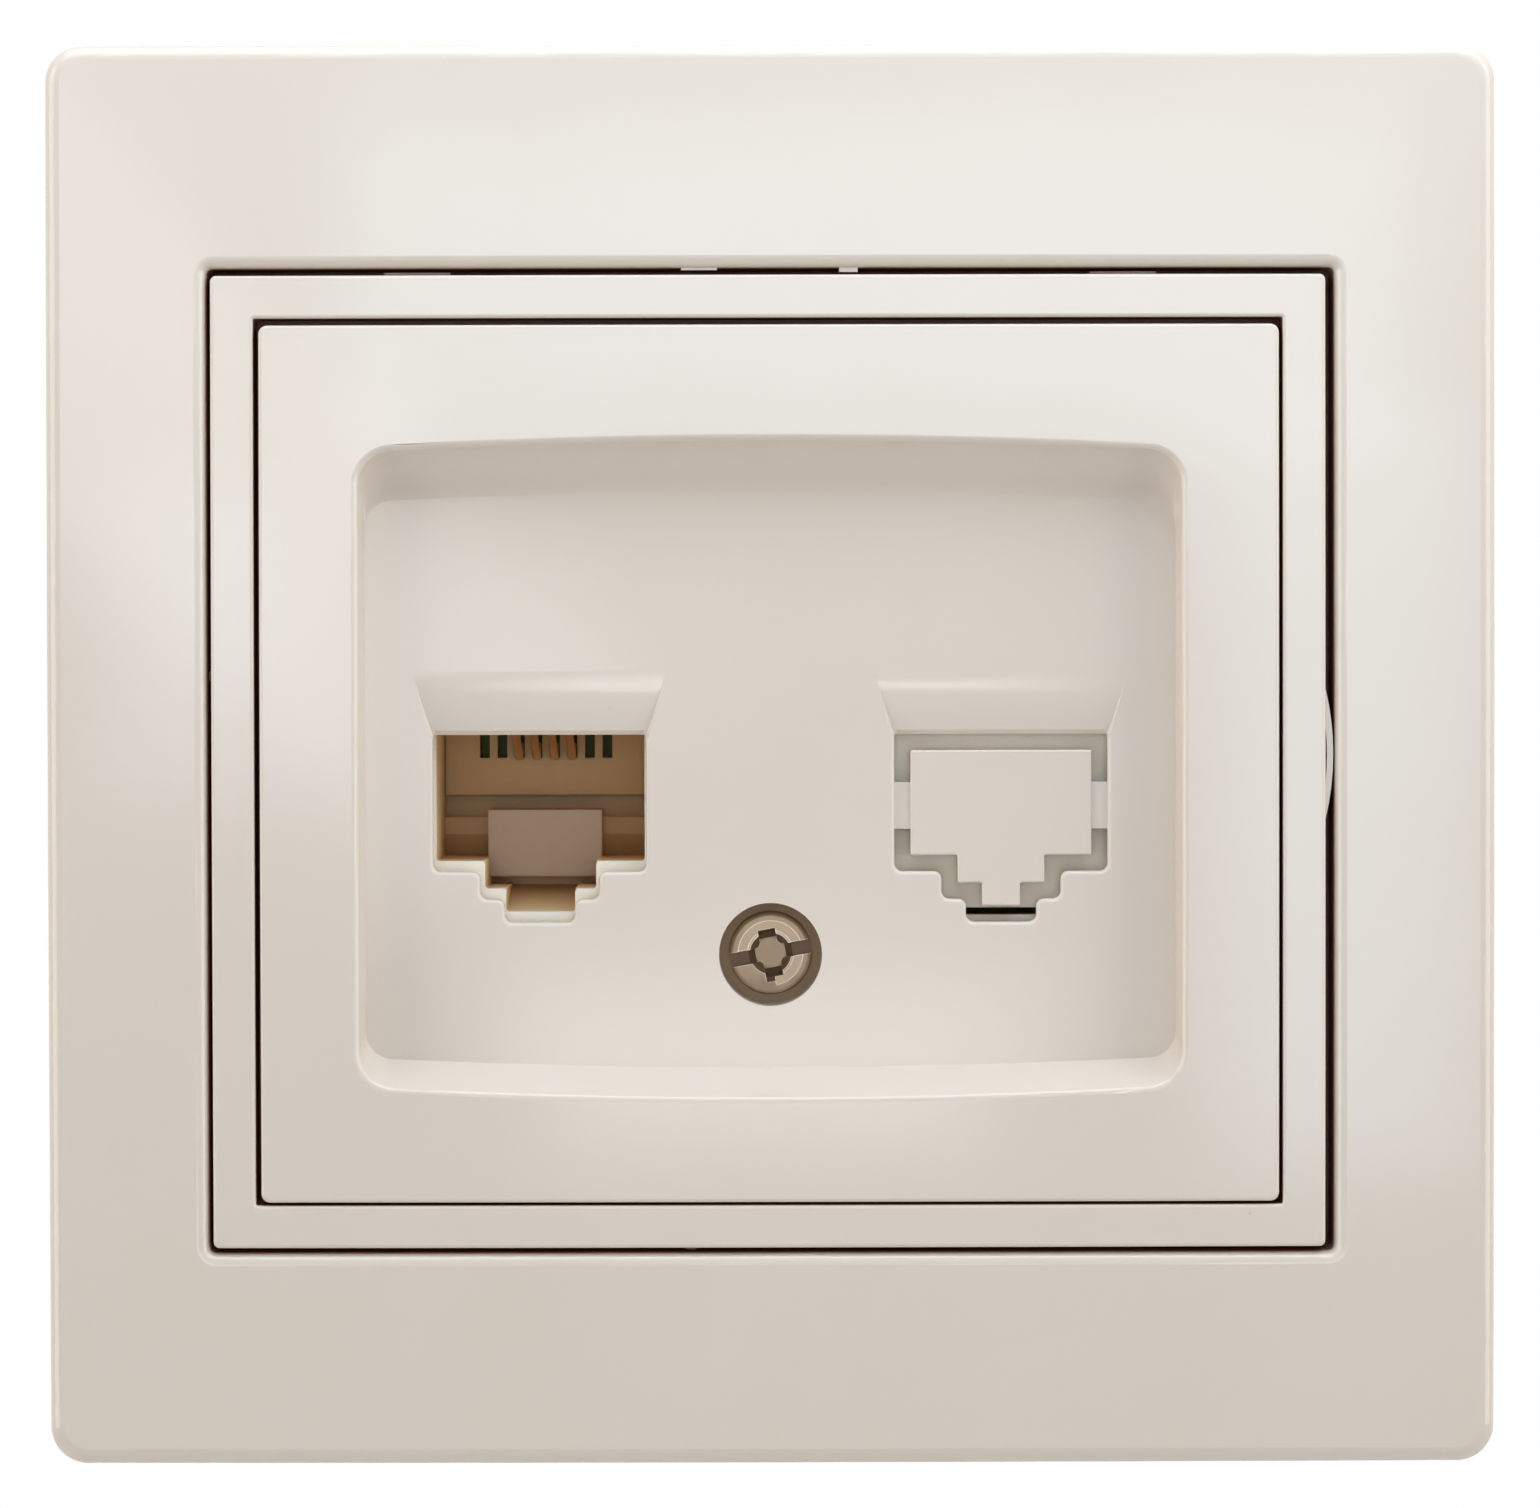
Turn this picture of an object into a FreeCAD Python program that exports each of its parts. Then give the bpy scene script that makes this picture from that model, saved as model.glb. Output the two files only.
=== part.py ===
# Ethernet wall socket, flush mounted, with one open port and one port closed by its knock-out blank.
# All sizes in millimetres. X points right, Z points up and the front faces -Y. The wall is the plane Y = 0,
# and the origin is the centre of the wall side of the support ring.

import FreeCAD, Part
import math
import os

# How far a cutting tool stands out past what it cuts, and the margins used to pick edges
overshoot = 2.0
pick_margin = 0.1
flat_margin = 0.01

# Cover frame, which hides the support ring
frame_gap_side = 3.5
frame_gap_end = 2.725
frame_depth = 9.5
frame_corner_radius = 2.1
frame_side_wall = 1.8
frame_front_wall = 2.0
frame_edge_round = 0.9
frame_hollow_radius = 0.3
face_crown_radius = 2000.0

# Opening of the frame, its collar and the ledge that the trim ring rests on
opening_drop = 0.34
opening_corner_radius = 0.3
opening_edge_round = 0.7
collar_wall = 1.5
ledge_reach = 1.1
ledge_thickness = 1.4
throat_corner_radius = 1.0

# Two small moulding marks on the top side of the opening
mark_depth = 1.5
left_mark_x = -3.97
left_mark_length = 2.0
left_mark_height = 0.1
right_mark_x = 4.38
right_mark_length = 1.03
right_mark_height = 0.22

# Trim ring
ring_play_x = 0.35
ring_play_z = 0.32
ring_offset_x = -0.14
ring_offset_z = -0.05
ring_band = 2.4
ring_depth = 4.0
ring_set_back = 0.05
ring_corner_radius = 0.35
ring_inner_radius = 0.1
ring_throat_radius = 0.5
ring_edge_round = 0.2
ring_seat_reach = 1.2
ring_seat_thickness = 1.0

# Sprung leaf in the right side of the trim ring
leaf_length = 9.9
leaf_z = 0.0
leaf_thickness = 0.35
leaf_play = 0.05
leaf_root = 0.35
leaf_pocket = 0.45
leaf_pocket_inset = 1.2
leaf_set_back = 0.6
leaf_depth = 2.4

# Centring nubs on the trim ring's outer sides
nub_height = 0.2
nub_set_back = 1.4
nub_depth = 2.0
upper_nub_length = 3.7
upper_nub_spread = 19.75
lower_nub_length = 0.6
lower_nub_x = -4.55
side_nub_length = 0.55
side_nub_z = 4.45

# Centre plate
plate_border_side = 5.425
plate_border_end = 6.535
plate_play_x = 0.25
plate_play_z = 0.27
plate_offset_x = 0.05
plate_offset_z = -0.11
plate_corner_radius = 0.5
plate_edge_round = 0.2
plate_wall = 1.8
dish_floor_wall = 1.2
plate_inside_radius = 0.5

# Dish of the centre plate
dish_border_side = 4.075
dish_height = 36.0
dish_drop = 0.81
dish_bow = 0.5
dish_depth = 2.8
dish_side_run = 0.26
dish_bottom_run = 1.65
dish_top_run = 0.9
dish_top_hollow = 2.0
dish_corner_radius = 2.05
dish_floor_corner_radius = 1.55
dish_edge_round = 0.35
dish_sections = 6

# Ports of the centre plate
port_offset_x = -0.05
port_width = 12.0
port_top = 1.1
port_height = 7.72
port_step_width = 6.7
port_step_height = 1.56
port_notch_width = 3.95
port_notch_height = 1.3
port_corner_radius = 0.45
port_top_corner_radius = 0.12
port_edge_round = 0.25

# Lead-in above each port, which starts level with the dish and grows deeper towards the port
funnel_height = 3.6
funnel_depth = 0.38
funnel_flare = 0.95
funnel_side_slope = 0.5
port_lip = 0.2

# Knock-out blank of the right port
blank_gap = 0.9
blank_thickness = 1.0
blank_set_back = 0.15
blank_corner_radius = 0.12
blank_edge_round = 0.12
web_height = 2.64
web_centre_drop = 4.02
web_thickness = 0.8
web_root = 0.4

# Cover screw, its hole and its nut
screw_drop = 11.3
screw_hole_diameter = 5.82
screw_head_diameter = 4.7
screw_head_height = 1.7
screw_head_sink = 1.2
screw_head_round = 0.3
screw_head_crown = 9.0
screw_shank_diameter = 3.0
screw_shank_clearance = 0.2
screw_past_nut = 1.0
screw_turn = 10.5
screw_slot_width = 0.8
screw_slot_depth = 0.65
screw_cross_length = 3.4
screw_cross_width = 1.0
screw_cross_depth = 1.15
screw_cross_floor = 1.7
screw_core_diameter = 2.4
screw_core_floor = 1.5
screw_groove_inner = 1.32
screw_groove_outer = 1.83
screw_groove_depth = 0.45
boss_wall = 1.2
boss_floor = 1.0
nut_width = 5.5
nut_thickness = 2.0
nut_cover = 1.4
nut_corner_radius = 0.2

# Support ring
strap_slot_edge = 5.25
strap_thickness = 1.2
strap_corner_radius = 7.0
strap_slot_spacing = 60.0
strap_slot_width = 4.0
strap_slot_length = 7.0
strap_window_play = 0.3
strap_window_height = 45.0
strap_window_corner = 4.0
strap_lug_width = 9.0
strap_lug_depth = 5.0
strap_lug_rise = 1.2
strap_hole_edge = 2.95
strap_bend_radius = 0.9
strap_hole_diameter = 3.2
collar_notch_width = 8.0

# Carrier
carrier_play_side = 0.45
carrier_play_top = 1.1
carrier_play_bottom = 0.57
carrier_wall = 1.4
carrier_front_wall = 1.2
carrier_front_gap = 0.1
carrier_rim = 1.8
column_play = 0.09
carrier_corner_radius = 2.0
flange_reach = 3.8
flange_thickness = 1.2
rivet_diameter = 2.0
rivet_head_diameter = 3.4
rivet_head_height = 0.7
rivet_head_round = 0.42
rivet_tail_diameter = 2.8
rivet_reach = 1.9
rivet_drop = 9.0
fit_gap = 0.05
relief_width = 4.4
relief_height = 0.42
relief_top = 8.72

# Jack, whose opening lies a little inside the port of the plate
jack_inset = 0.1
jack_step_inset = 0.2
jack_notch_inset = 0.015
jack_sill = 0.55
jack_opening_top = 1.4
jack_corner_radius = 0.2
jack_wall = 1.5
jack_cavity_depth = 7.8
jack_back_wall = 2.3
jack_recess_top = 2.6
jack_recess_bottom = 3.84
jack_recess_depth = 1.3
jack_rib_bottom = 4.8
jack_low_depth = 0.9
jack_pad_width = 6.54
jack_pad_top = 3.37
jack_pad_bottom = 7.19
jack_pad_depth = 2.1
ramp_rise = 1.2
ramp_start = 1.0

# Contacts of the jack
contact_pitch = 1.016
comb_slots = 8
contact_count = 4
comb_slot_width = 0.57
comb_slot_bottom = 0.41
comb_slot_top = 3.4
insert_roof = 1.0
insert_guide_bottom = 2.3
insert_guide_front = 1.2
contact_diameter = 0.46
contact_bend_radius = 0.75
contact_tail = 0.8
contact_hook_radius = 0.35
contact_hook_gap = 0.55
contact_low = 0.3
contact_hook_turn = 50.0
contact_end = 0.7

# Circuit board
board_play = 0.45
board_thickness = 1.6
board_corner_radius = 1.0
board_screw_edge_side = 2.9
board_screw_edge_end = 1.95
board_screw_diameter = 2.2
board_screw_head = 3.8
board_screw_head_height = 1.2
board_screw_length = 6.0
board_post_diameter = 4.6
board_screw_hole_extra = 0.5

# Terminals
terminal_count = 4
terminal_pitch = 5.0
terminal_height = 9.0
terminal_depth = 9.5
terminal_drop = 5.0
terminal_wall = 1.0
terminal_base = 1.2
clamp_play = 0.1
clamp_width = 3.6
clamp_height = 4.4
clamp_depth = 4.8
clamp_entry = 2.2
clamp_entry_inset = 0.8
terminal_screw_diameter = 2.5
terminal_screw_head = 3.4
terminal_screw_head_height = 1.4
terminal_screw_length = 3.6
driver_slot_width = 0.6
driver_slot_depth = 0.7
driver_play = 0.15
wire_entry = 3.0
wire_entry_inset = 0.6

# Sizes that follow, from the jack and the screw column outwards
boss_radius = screw_hole_diameter / 2 + boss_wall
column_radius = boss_radius + carrier_wall
jack_opening_width = port_width - 2 * jack_inset
jack_step_width = port_step_width - 2 * jack_step_inset
jack_notch_width = port_notch_width - 2 * jack_notch_inset
jack_width = jack_opening_width + 2 * jack_wall
jack_shoulder = port_height - port_top - jack_sill
jack_step = jack_shoulder + port_step_height
jack_notch = jack_step + port_notch_height
jack_bottom = jack_notch + jack_wall
insert_top = comb_slot_top + insert_roof
port_full_height = port_height + port_step_height + port_notch_height
port_spacing = 2 * column_radius + jack_width + 2 * column_play
dish_width = port_spacing + port_width + 2 * dish_border_side
plate_width = dish_width + 2 * plate_border_side
plate_height = dish_height + 2 * plate_border_end
ring_width = plate_width + 2 * plate_play_x + 2 * ring_band
ring_height = plate_height + 2 * plate_play_z + 2 * ring_band
opening_width = ring_width + 2 * ring_play_x
opening_height = ring_height + 2 * ring_play_z
carrier_width = port_spacing + jack_width + 2 * carrier_play_side + 2 * carrier_wall
carrier_top = insert_top + jack_wall + carrier_play_top + carrier_wall
carrier_bottom = jack_bottom + board_post_diameter + carrier_play_bottom + carrier_wall
carrier_height = carrier_top + carrier_bottom
board_width = carrier_width - 2 * carrier_wall - 2 * board_play
board_height = carrier_height - 2 * carrier_wall - 2 * board_play
strap_size = strap_slot_spacing + 2 * strap_slot_edge
strap_window_width = carrier_width + 2 * strap_window_play
strap_hole_spacing = strap_window_width + 2 * strap_hole_edge
frame_width = strap_size + 2 * frame_gap_side + 2 * frame_side_wall
frame_height = strap_size + 2 * frame_gap_end + 2 * frame_side_wall
terminal_width = terminal_count * terminal_pitch + terminal_wall

# Places that follow
face_y = -frame_depth
ring_face_y = face_y + ring_set_back
ring_back_y = ring_face_y + ring_depth
ring_seat_y = ring_back_y - ring_seat_thickness
opening_z = -opening_drop
ring_x = ring_offset_x
ring_z = opening_z + ring_offset_z
plate_x = ring_x + plate_offset_x
plate_z = ring_z + plate_offset_z
dish_x = port_offset_x
dish_z = -dish_drop
dish_floor_y = face_y + dish_depth
floor_back_y = dish_floor_y + dish_floor_wall
carrier_face_y = floor_back_y + carrier_front_gap
carrier_inner_y = carrier_face_y + carrier_front_wall
strap_front_y = -strap_thickness
left_port_x = port_offset_x - port_spacing / 2
right_port_x = port_offset_x + port_spacing / 2
comb_y = carrier_inner_y + jack_cavity_depth
jack_back_y = comb_y + jack_back_wall
board_back_y = jack_back_y + board_thickness
carrier_back = board_back_y + carrier_rim
carrier_z = (carrier_top - carrier_bottom) / 2
rivet_x = carrier_width / 2 + rivet_reach
screw_x = port_offset_x
screw_z = -screw_drop
screw_head_y = dish_floor_y + screw_head_sink
screw_seat_y = screw_head_y + screw_head_height
boss_back_y = screw_seat_y + boss_floor
nut_back_y = jack_back_y - nut_cover
nut_front_y = nut_back_y - nut_thickness
screw_end_y = nut_back_y + screw_past_nut
board_screw_x = board_width / 2 - board_screw_edge_side
board_screw_low = carrier_z - board_height / 2 + board_screw_edge_end
board_screw_high = carrier_z + board_height / 2 - board_screw_edge_end
terminal_back_y = board_back_y + terminal_depth
clamp_y = board_back_y + terminal_base


def vec(x, y, z):
    return FreeCAD.Vector(x, y, z)


def box(x0, x1, y0, y1, z0, z1):
    """A box between two corners, whose sides are given low and high."""
    return Part.makeBox(x1 - x0, y1 - y0, z1 - z0, vec(x0, y0, z0))


def rod(x, z, y0, y1, radius):
    """A round bar along Y."""
    return Part.makeCylinder(radius, y1 - y0, vec(x, y0, z), vec(0, 1, 0))


def rounded_wire(points, radii, y):
    """A closed outline in the XZ plane at depth y, with each corner rounded by its own radius."""
    count = len(points)
    starts, ends, middles = [], [], []
    for i in range(count):
        corner = vec(points[i][0], y, points[i][1])
        back = vec(points[i - 1][0], y, points[i - 1][1]) - corner
        ahead = vec(points[(i + 1) % count][0], y, points[(i + 1) % count][1]) - corner
        back.normalize()
        ahead.normalize()
        half = back.getAngle(ahead) / 2
        reach = radii[i] / math.tan(half)
        middle = back + ahead
        middle.normalize()
        starts.append(corner + back * reach)
        ends.append(corner + ahead * reach)
        middles.append(corner + middle * (radii[i] / math.sin(half) - radii[i]))
    edges = []
    for i in range(count):
        if radii[i] > 0:
            edges.append(Part.Arc(starts[i], middles[i], ends[i]).toShape())
        nxt = (i + 1) % count
        if (starts[nxt] - ends[i]).Length > 1e-6:
            edges.append(Part.LineSegment(ends[i], starts[nxt]).toShape())
    return Part.Wire(edges)


def rectangle_points(width, height, x=0.0, z=0.0):
    w, h = width / 2, height / 2
    return [(x - w, z - h), (x + w, z - h), (x + w, z + h), (x - w, z + h)]


def shaped_slab(points, radii, y0, y1):
    """An outline given by its corners, each with its own radius, extruded from y0 to y1."""
    return Part.Face(rounded_wire(points, radii, y0)).extrude(vec(0, y1 - y0, 0))


def slab(points, radius, y0, y1):
    """An outline given by its corners, extruded from y0 to y1, with equal corner radii."""
    return shaped_slab(points, [radius] * len(points), y0, y1)


def prism_along_x(corners, x0, x1):
    """A prism along X whose section is given by the depth and height of its corners."""
    section = [vec(x0, y, z) for y, z in corners]
    return Part.Face(Part.makePolygon(section + section[:1])).extrude(vec(x1 - x0, 0, 0))


def rounded_block(width, height, radius, y0, y1, x=0.0, z=0.0):
    return slab(rectangle_points(width, height, x, z), radius, y0, y1)


def crown_tool(front_y):
    """The space in front of the crowned face: a plate whose back is the face's sphere."""
    reach = frame_width
    plate = box(-reach, reach, front_y - 2 * overshoot, front_y + overshoot, -reach, reach)
    ball = Part.makeSphere(face_crown_radius, vec(0, front_y + face_crown_radius, 0))
    return plate.cut(ball)


def front_edges(solid, y_limit):
    """Edges whose whole length lies in front of y_limit."""
    return [edge for edge in solid.Edges if edge.BoundBox.YMax < y_limit]


def within(edges, x, z, width, height):
    """Those edges that lie wholly in a window of the given width and height, centred at x and z."""
    found = []
    for edge in edges:
        bounds = edge.BoundBox
        reach_x = max(x - bounds.XMin, bounds.XMax - x)
        reach_z = max(z - bounds.ZMin, bounds.ZMax - z)
        if reach_x < width / 2 + pick_margin and reach_z < height / 2 + pick_margin:
            found.append(edge)
    return found


def make_opening_mark(x, length, height):
    """A small raised mark on the top side of the frame's opening, just behind its rounded edge."""
    y = face_y + opening_edge_round
    top = opening_z + opening_height / 2
    return box(x - length / 2, x + length / 2, y, y + mark_depth, top - height, top + collar_wall / 2)


def make_outer_frame():
    """The cover frame: a hollow shell with a crowned face, a collar round its opening and a ledge in it."""
    solid = rounded_block(frame_width, frame_height, frame_corner_radius, face_y - overshoot, 0)
    solid = solid.cut(crown_tool(face_y))
    solid = solid.makeFillet(frame_edge_round, front_edges(solid, face_y + frame_depth / 2))
    hollow_width = frame_width - 2 * frame_side_wall
    hollow_height = frame_height - 2 * frame_side_wall
    hollow_radius = max(frame_corner_radius - frame_side_wall, frame_hollow_radius)
    hollow = rounded_block(hollow_width, hollow_height, hollow_radius, face_y + frame_front_wall, overshoot)
    collar = rounded_block(opening_width + 2 * collar_wall, opening_height + 2 * collar_wall, collar_wall,
                           face_y, strap_front_y, 0, opening_z)
    solid = solid.cut(hollow.cut(collar))
    opening = rounded_block(opening_width, opening_height, opening_corner_radius, face_y - overshoot,
                            ring_back_y, 0, opening_z)
    throat = rounded_block(opening_width - 2 * ledge_reach, opening_height - 2 * ledge_reach,
                           throat_corner_radius, face_y - overshoot, overshoot, 0, opening_z)
    ledge_back_y = ring_back_y + ledge_thickness
    below = rounded_block(opening_width, opening_height, opening_corner_radius, ledge_back_y, overshoot,
                          0, opening_z)
    solid = solid.cut(opening).cut(throat).cut(below)
    half_notch = collar_notch_width / 2
    solid = solid.cut(box(-hollow_width / 2, hollow_width / 2, ledge_back_y, overshoot,
                          -half_notch, half_notch))
    solid = solid.cut(box(-half_notch, half_notch, ledge_back_y, overshoot,
                          -hollow_height / 2, hollow_height / 2))
    rim = within(front_edges(solid, face_y + frame_front_wall), 0, opening_z, opening_width, opening_height)
    solid = solid.makeFillet(opening_edge_round, rim)
    return solid.fuse([make_opening_mark(left_mark_x, left_mark_length, left_mark_height),
                       make_opening_mark(right_mark_x, right_mark_length, right_mark_height)])


def make_leaf(right, z):
    """A thin strip bowed outwards in the XZ plane, rooted in the ring's right side."""
    bulge = opening_width / 2 - leaf_play
    foot = right - leaf_root
    half = leaf_length / 2
    y = ring_face_y + leaf_set_back
    outer = Part.Arc(vec(foot, y, z - half), vec(bulge, y, z), vec(foot, y, z + half)).toShape()
    inner = Part.Arc(vec(foot - leaf_thickness, y, z - half), vec(bulge - leaf_thickness, y, z),
                     vec(foot - leaf_thickness, y, z + half)).toShape()
    low = Part.LineSegment(vec(foot, y, z - half), vec(foot - leaf_thickness, y, z - half)).toShape()
    high = Part.LineSegment(vec(foot, y, z + half), vec(foot - leaf_thickness, y, z + half)).toShape()
    return Part.Face(Part.Wire([outer, high, inner, low])).extrude(vec(0, leaf_depth, 0))


def make_nub(x, z, width, height):
    """A nub centred at x and z on an outer side of the trim ring."""
    y = ring_face_y + nub_set_back
    return box(x - width / 2, x + width / 2, y, y + nub_depth, z - height / 2, z + height / 2)


def make_trim_ring():
    """The ring between frame and plate: a crowned band, a seat for the plate, nubs and a sprung leaf."""
    solid = rounded_block(ring_width, ring_height, ring_corner_radius, face_y - overshoot, ring_back_y,
                          ring_x, ring_z)
    solid = solid.cut(crown_tool(ring_face_y))
    inner = rounded_block(ring_width - 2 * ring_band, ring_height - 2 * ring_band, ring_inner_radius,
                          face_y - overshoot, ring_seat_y, ring_x, ring_z)
    reach = ring_band + ring_seat_reach
    throat = rounded_block(ring_width - 2 * reach, ring_height - 2 * reach, ring_throat_radius,
                           face_y - overshoot, ring_back_y + overshoot, ring_x, ring_z)
    solid = solid.cut(inner).cut(throat)
    solid = solid.makeFillet(ring_edge_round, front_edges(solid, ring_face_y + ring_depth / 4))
    left, right = ring_x - ring_width / 2, ring_x + ring_width / 2
    bottom, top = ring_z - ring_height / 2, ring_z + ring_height / 2
    leaf_y = ring_face_y + leaf_set_back
    pocket_half = leaf_length / 2 - leaf_pocket_inset
    pocket = box(right - leaf_pocket, right + overshoot, leaf_y, leaf_y + leaf_depth,
                 leaf_z - pocket_half, leaf_z + pocket_half)
    nubs = [make_nub(-upper_nub_spread, top, upper_nub_length, 2 * nub_height),
            make_nub(upper_nub_spread, top, upper_nub_length, 2 * nub_height),
            make_nub(lower_nub_x, bottom, lower_nub_length, 2 * nub_height),
            make_nub(left, side_nub_z, 2 * nub_height, side_nub_length)]
    return solid.cut(pocket).fuse([make_leaf(right, leaf_z)] + nubs)


def make_dish_tool():
    """The hollow of the dish as a loft through sections that follow its walls down to the floor."""
    wires = []
    for i in range(-1, dish_sections + 1):
        share = i / dish_sections
        depth = share * dish_depth
        lean = min(max(depth - (dish_depth - dish_top_hollow), 0), dish_top_hollow)
        hollow = dish_top_hollow - math.sqrt(dish_top_hollow ** 2 - lean ** 2)
        half = dish_width / 2 - dish_side_run * share
        top = dish_z + dish_height / 2 - dish_top_run * share - hollow
        bottom = dish_z - dish_height / 2 + dish_bottom_run * share
        radius = dish_corner_radius + (dish_floor_corner_radius - dish_corner_radius) * share
        wires.append(dish_wire(half, top, bottom, radius, face_y + depth))
    return Part.makeLoft(wires, True, False)


def dish_wire(half, top, bottom, radius, y):
    """One section of the dish: straight sides, and a top and bottom that bow outwards."""
    left, right = dish_x - half, dish_x + half
    slant = radius * (1 - math.sqrt(0.5))
    edges = [
        Part.Arc(vec(left + radius, y, bottom), vec(dish_x, y, bottom - dish_bow),
                 vec(right - radius, y, bottom)),
        Part.Arc(vec(right - radius, y, bottom), vec(right - slant, y, bottom + slant),
                 vec(right, y, bottom + radius)),
        Part.LineSegment(vec(right, y, bottom + radius), vec(right, y, top - radius)),
        Part.Arc(vec(right, y, top - radius), vec(right - slant, y, top - slant),
                 vec(right - radius, y, top)),
        Part.Arc(vec(right - radius, y, top), vec(dish_x, y, top + dish_bow), vec(left + radius, y, top)),
        Part.Arc(vec(left + radius, y, top), vec(left + slant, y, top - slant), vec(left, y, top - radius)),
        Part.LineSegment(vec(left, y, top - radius), vec(left, y, bottom + radius)),
        Part.Arc(vec(left, y, bottom + radius), vec(left + slant, y, bottom + slant),
                 vec(left + radius, y, bottom)),
    ]
    return Part.Wire([e.toShape() for e in edges])


def port_points(x, inset=0.0):
    """The stepped outline of a port opening, drawn smaller all round by the inset."""
    wide = port_width / 2 - inset
    step = port_step_width / 2 - inset
    notch = port_notch_width / 2 - inset
    top = port_top - inset
    shoulder = port_top - port_height + inset
    step_z = shoulder - port_step_height
    notch_z = step_z - port_notch_height
    return [(x - wide, top), (x - wide, shoulder), (x - step, shoulder), (x - step, step_z),
            (x - notch, step_z), (x - notch, notch_z), (x + notch, notch_z), (x + notch, step_z),
            (x + step, step_z), (x + step, shoulder), (x + wide, shoulder), (x + wide, top)]


def funnel_outline(x, y):
    """The outline of the lead-in at depth y: flared above the port, and narrower the deeper it lies."""
    half = port_width / 2 + funnel_side_slope * (dish_floor_y + funnel_depth - y)
    flare = 2 * funnel_flare
    tall = 2 * funnel_height
    low = port_top - port_top_corner_radius
    corners = [(x - half - flare, port_top + tall), (x - half, port_top), (x - half, low),
               (x + half, low), (x + half, port_top), (x + half + flare, port_top + tall)]
    return rounded_wire(corners, [0] * len(corners), y)


def make_funnel_tool(x):
    """The lead-in above a port: its floor leaves the dish without a crease and curves back to the port."""
    curve_radius = (funnel_height ** 2 + funnel_depth ** 2) / (2 * funnel_depth)
    top = port_top + funnel_height
    front, back = dish_floor_y - overshoot, dish_floor_y + overshoot
    sides = Part.makeLoft([funnel_outline(x, front), funnel_outline(x, back)], True, True)
    reach = 2 * port_width
    hollow = box(x - reach, x + reach, front, back, port_top - overshoot, top)
    hollow = hollow.cut(Part.makeCylinder(curve_radius, 2 * reach,
                                          vec(x - reach, dish_floor_y + curve_radius, top), vec(1, 0, 0)))
    return hollow.common(sides)


def make_lip_tool(x):
    """What is taken off the port's top edge, so that it slants back under the lead-in."""
    y = dish_floor_y + funnel_depth
    half = port_width / 2 - port_top_corner_radius
    return prism_along_x([(y - port_lip, port_top), (y - port_lip, port_top + 2 * port_lip),
                          (y + port_lip, port_top)], x - half, x + half)


def make_blank():
    """The knock-out blank of the right port with the two webs that hold it to the plate."""
    front = dish_floor_y + blank_set_back
    solid = slab(port_points(right_port_x, blank_gap), blank_corner_radius, front, front + blank_thickness)
    solid = solid.makeFillet(blank_edge_round, front_edges(solid, front + flat_margin))
    reach = port_width / 2 + web_root
    web_z = port_top - web_centre_drop
    web_front = front + blank_thickness - web_thickness
    web = box(right_port_x - reach, right_port_x + reach, web_front, front + blank_thickness,
              web_z - web_height / 2, web_z + web_height / 2)
    return solid.fuse(web)


def make_plate_shell():
    """The crowned plate with its skirt, the tub of the dish and the screw boss."""
    block = rounded_block(plate_width, plate_height, plate_corner_radius, face_y - overshoot, ring_seat_y,
                          plate_x, plate_z)
    block = block.cut(crown_tool(face_y))
    block = block.makeFillet(plate_edge_round, front_edges(block, face_y + plate_wall / 2))
    inside = rounded_block(plate_width - 2 * plate_wall, plate_height - 2 * plate_wall, plate_inside_radius,
                           face_y + plate_wall, overshoot, plate_x, plate_z)
    tub = rounded_block(dish_width + 2 * plate_wall, dish_height + 2 * dish_bow + 2 * plate_wall,
                        dish_corner_radius + plate_wall, face_y + plate_wall / 2, floor_back_y,
                        dish_x, dish_z)
    boss = rod(screw_x, screw_z, dish_floor_y + dish_floor_wall / 2, boss_back_y, boss_radius)
    solid = block.cut(inside).fuse([tub, boss]).cut(make_dish_tool())
    dish_rim = within(front_edges(solid, face_y + dish_depth / 4), dish_x, dish_z,
                      dish_width, dish_height + 2 * dish_bow)
    return solid.makeFillet(dish_edge_round, dish_rim)


def cut_port(solid, x):
    """Cuts one port opening, rounds its front edge and cuts the lead-in above it."""
    corners = port_points(x)
    radii = [port_corner_radius] * len(corners)
    radii[0] = radii[-1] = port_top_corner_radius
    solid = solid.cut(shaped_slab(corners, radii, dish_floor_y - overshoot, floor_back_y + overshoot))
    rim = [e for e in front_edges(solid, dish_floor_y + flat_margin)
           if e.BoundBox.YMin > dish_floor_y - flat_margin]
    rim = within(rim, x, port_top - port_full_height / 2, port_width, port_full_height)
    return solid.makeFillet(port_edge_round, rim).cut(make_funnel_tool(x)).cut(make_lip_tool(x))


def make_centre_plate():
    """The plate with both ports, the blank that closes the right one and the stepped screw hole."""
    solid = make_plate_shell()
    for x in (left_port_x, right_port_x):
        solid = cut_port(solid, x)
    solid = solid.fuse(make_blank())
    solid = solid.cut(rod(screw_x, screw_z, dish_floor_y - overshoot, screw_seat_y,
                          screw_hole_diameter / 2))
    shank = screw_shank_diameter / 2 + screw_shank_clearance
    return solid.cut(rod(screw_x, screw_z, dish_floor_y, boss_back_y + overshoot, shank))


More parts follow.
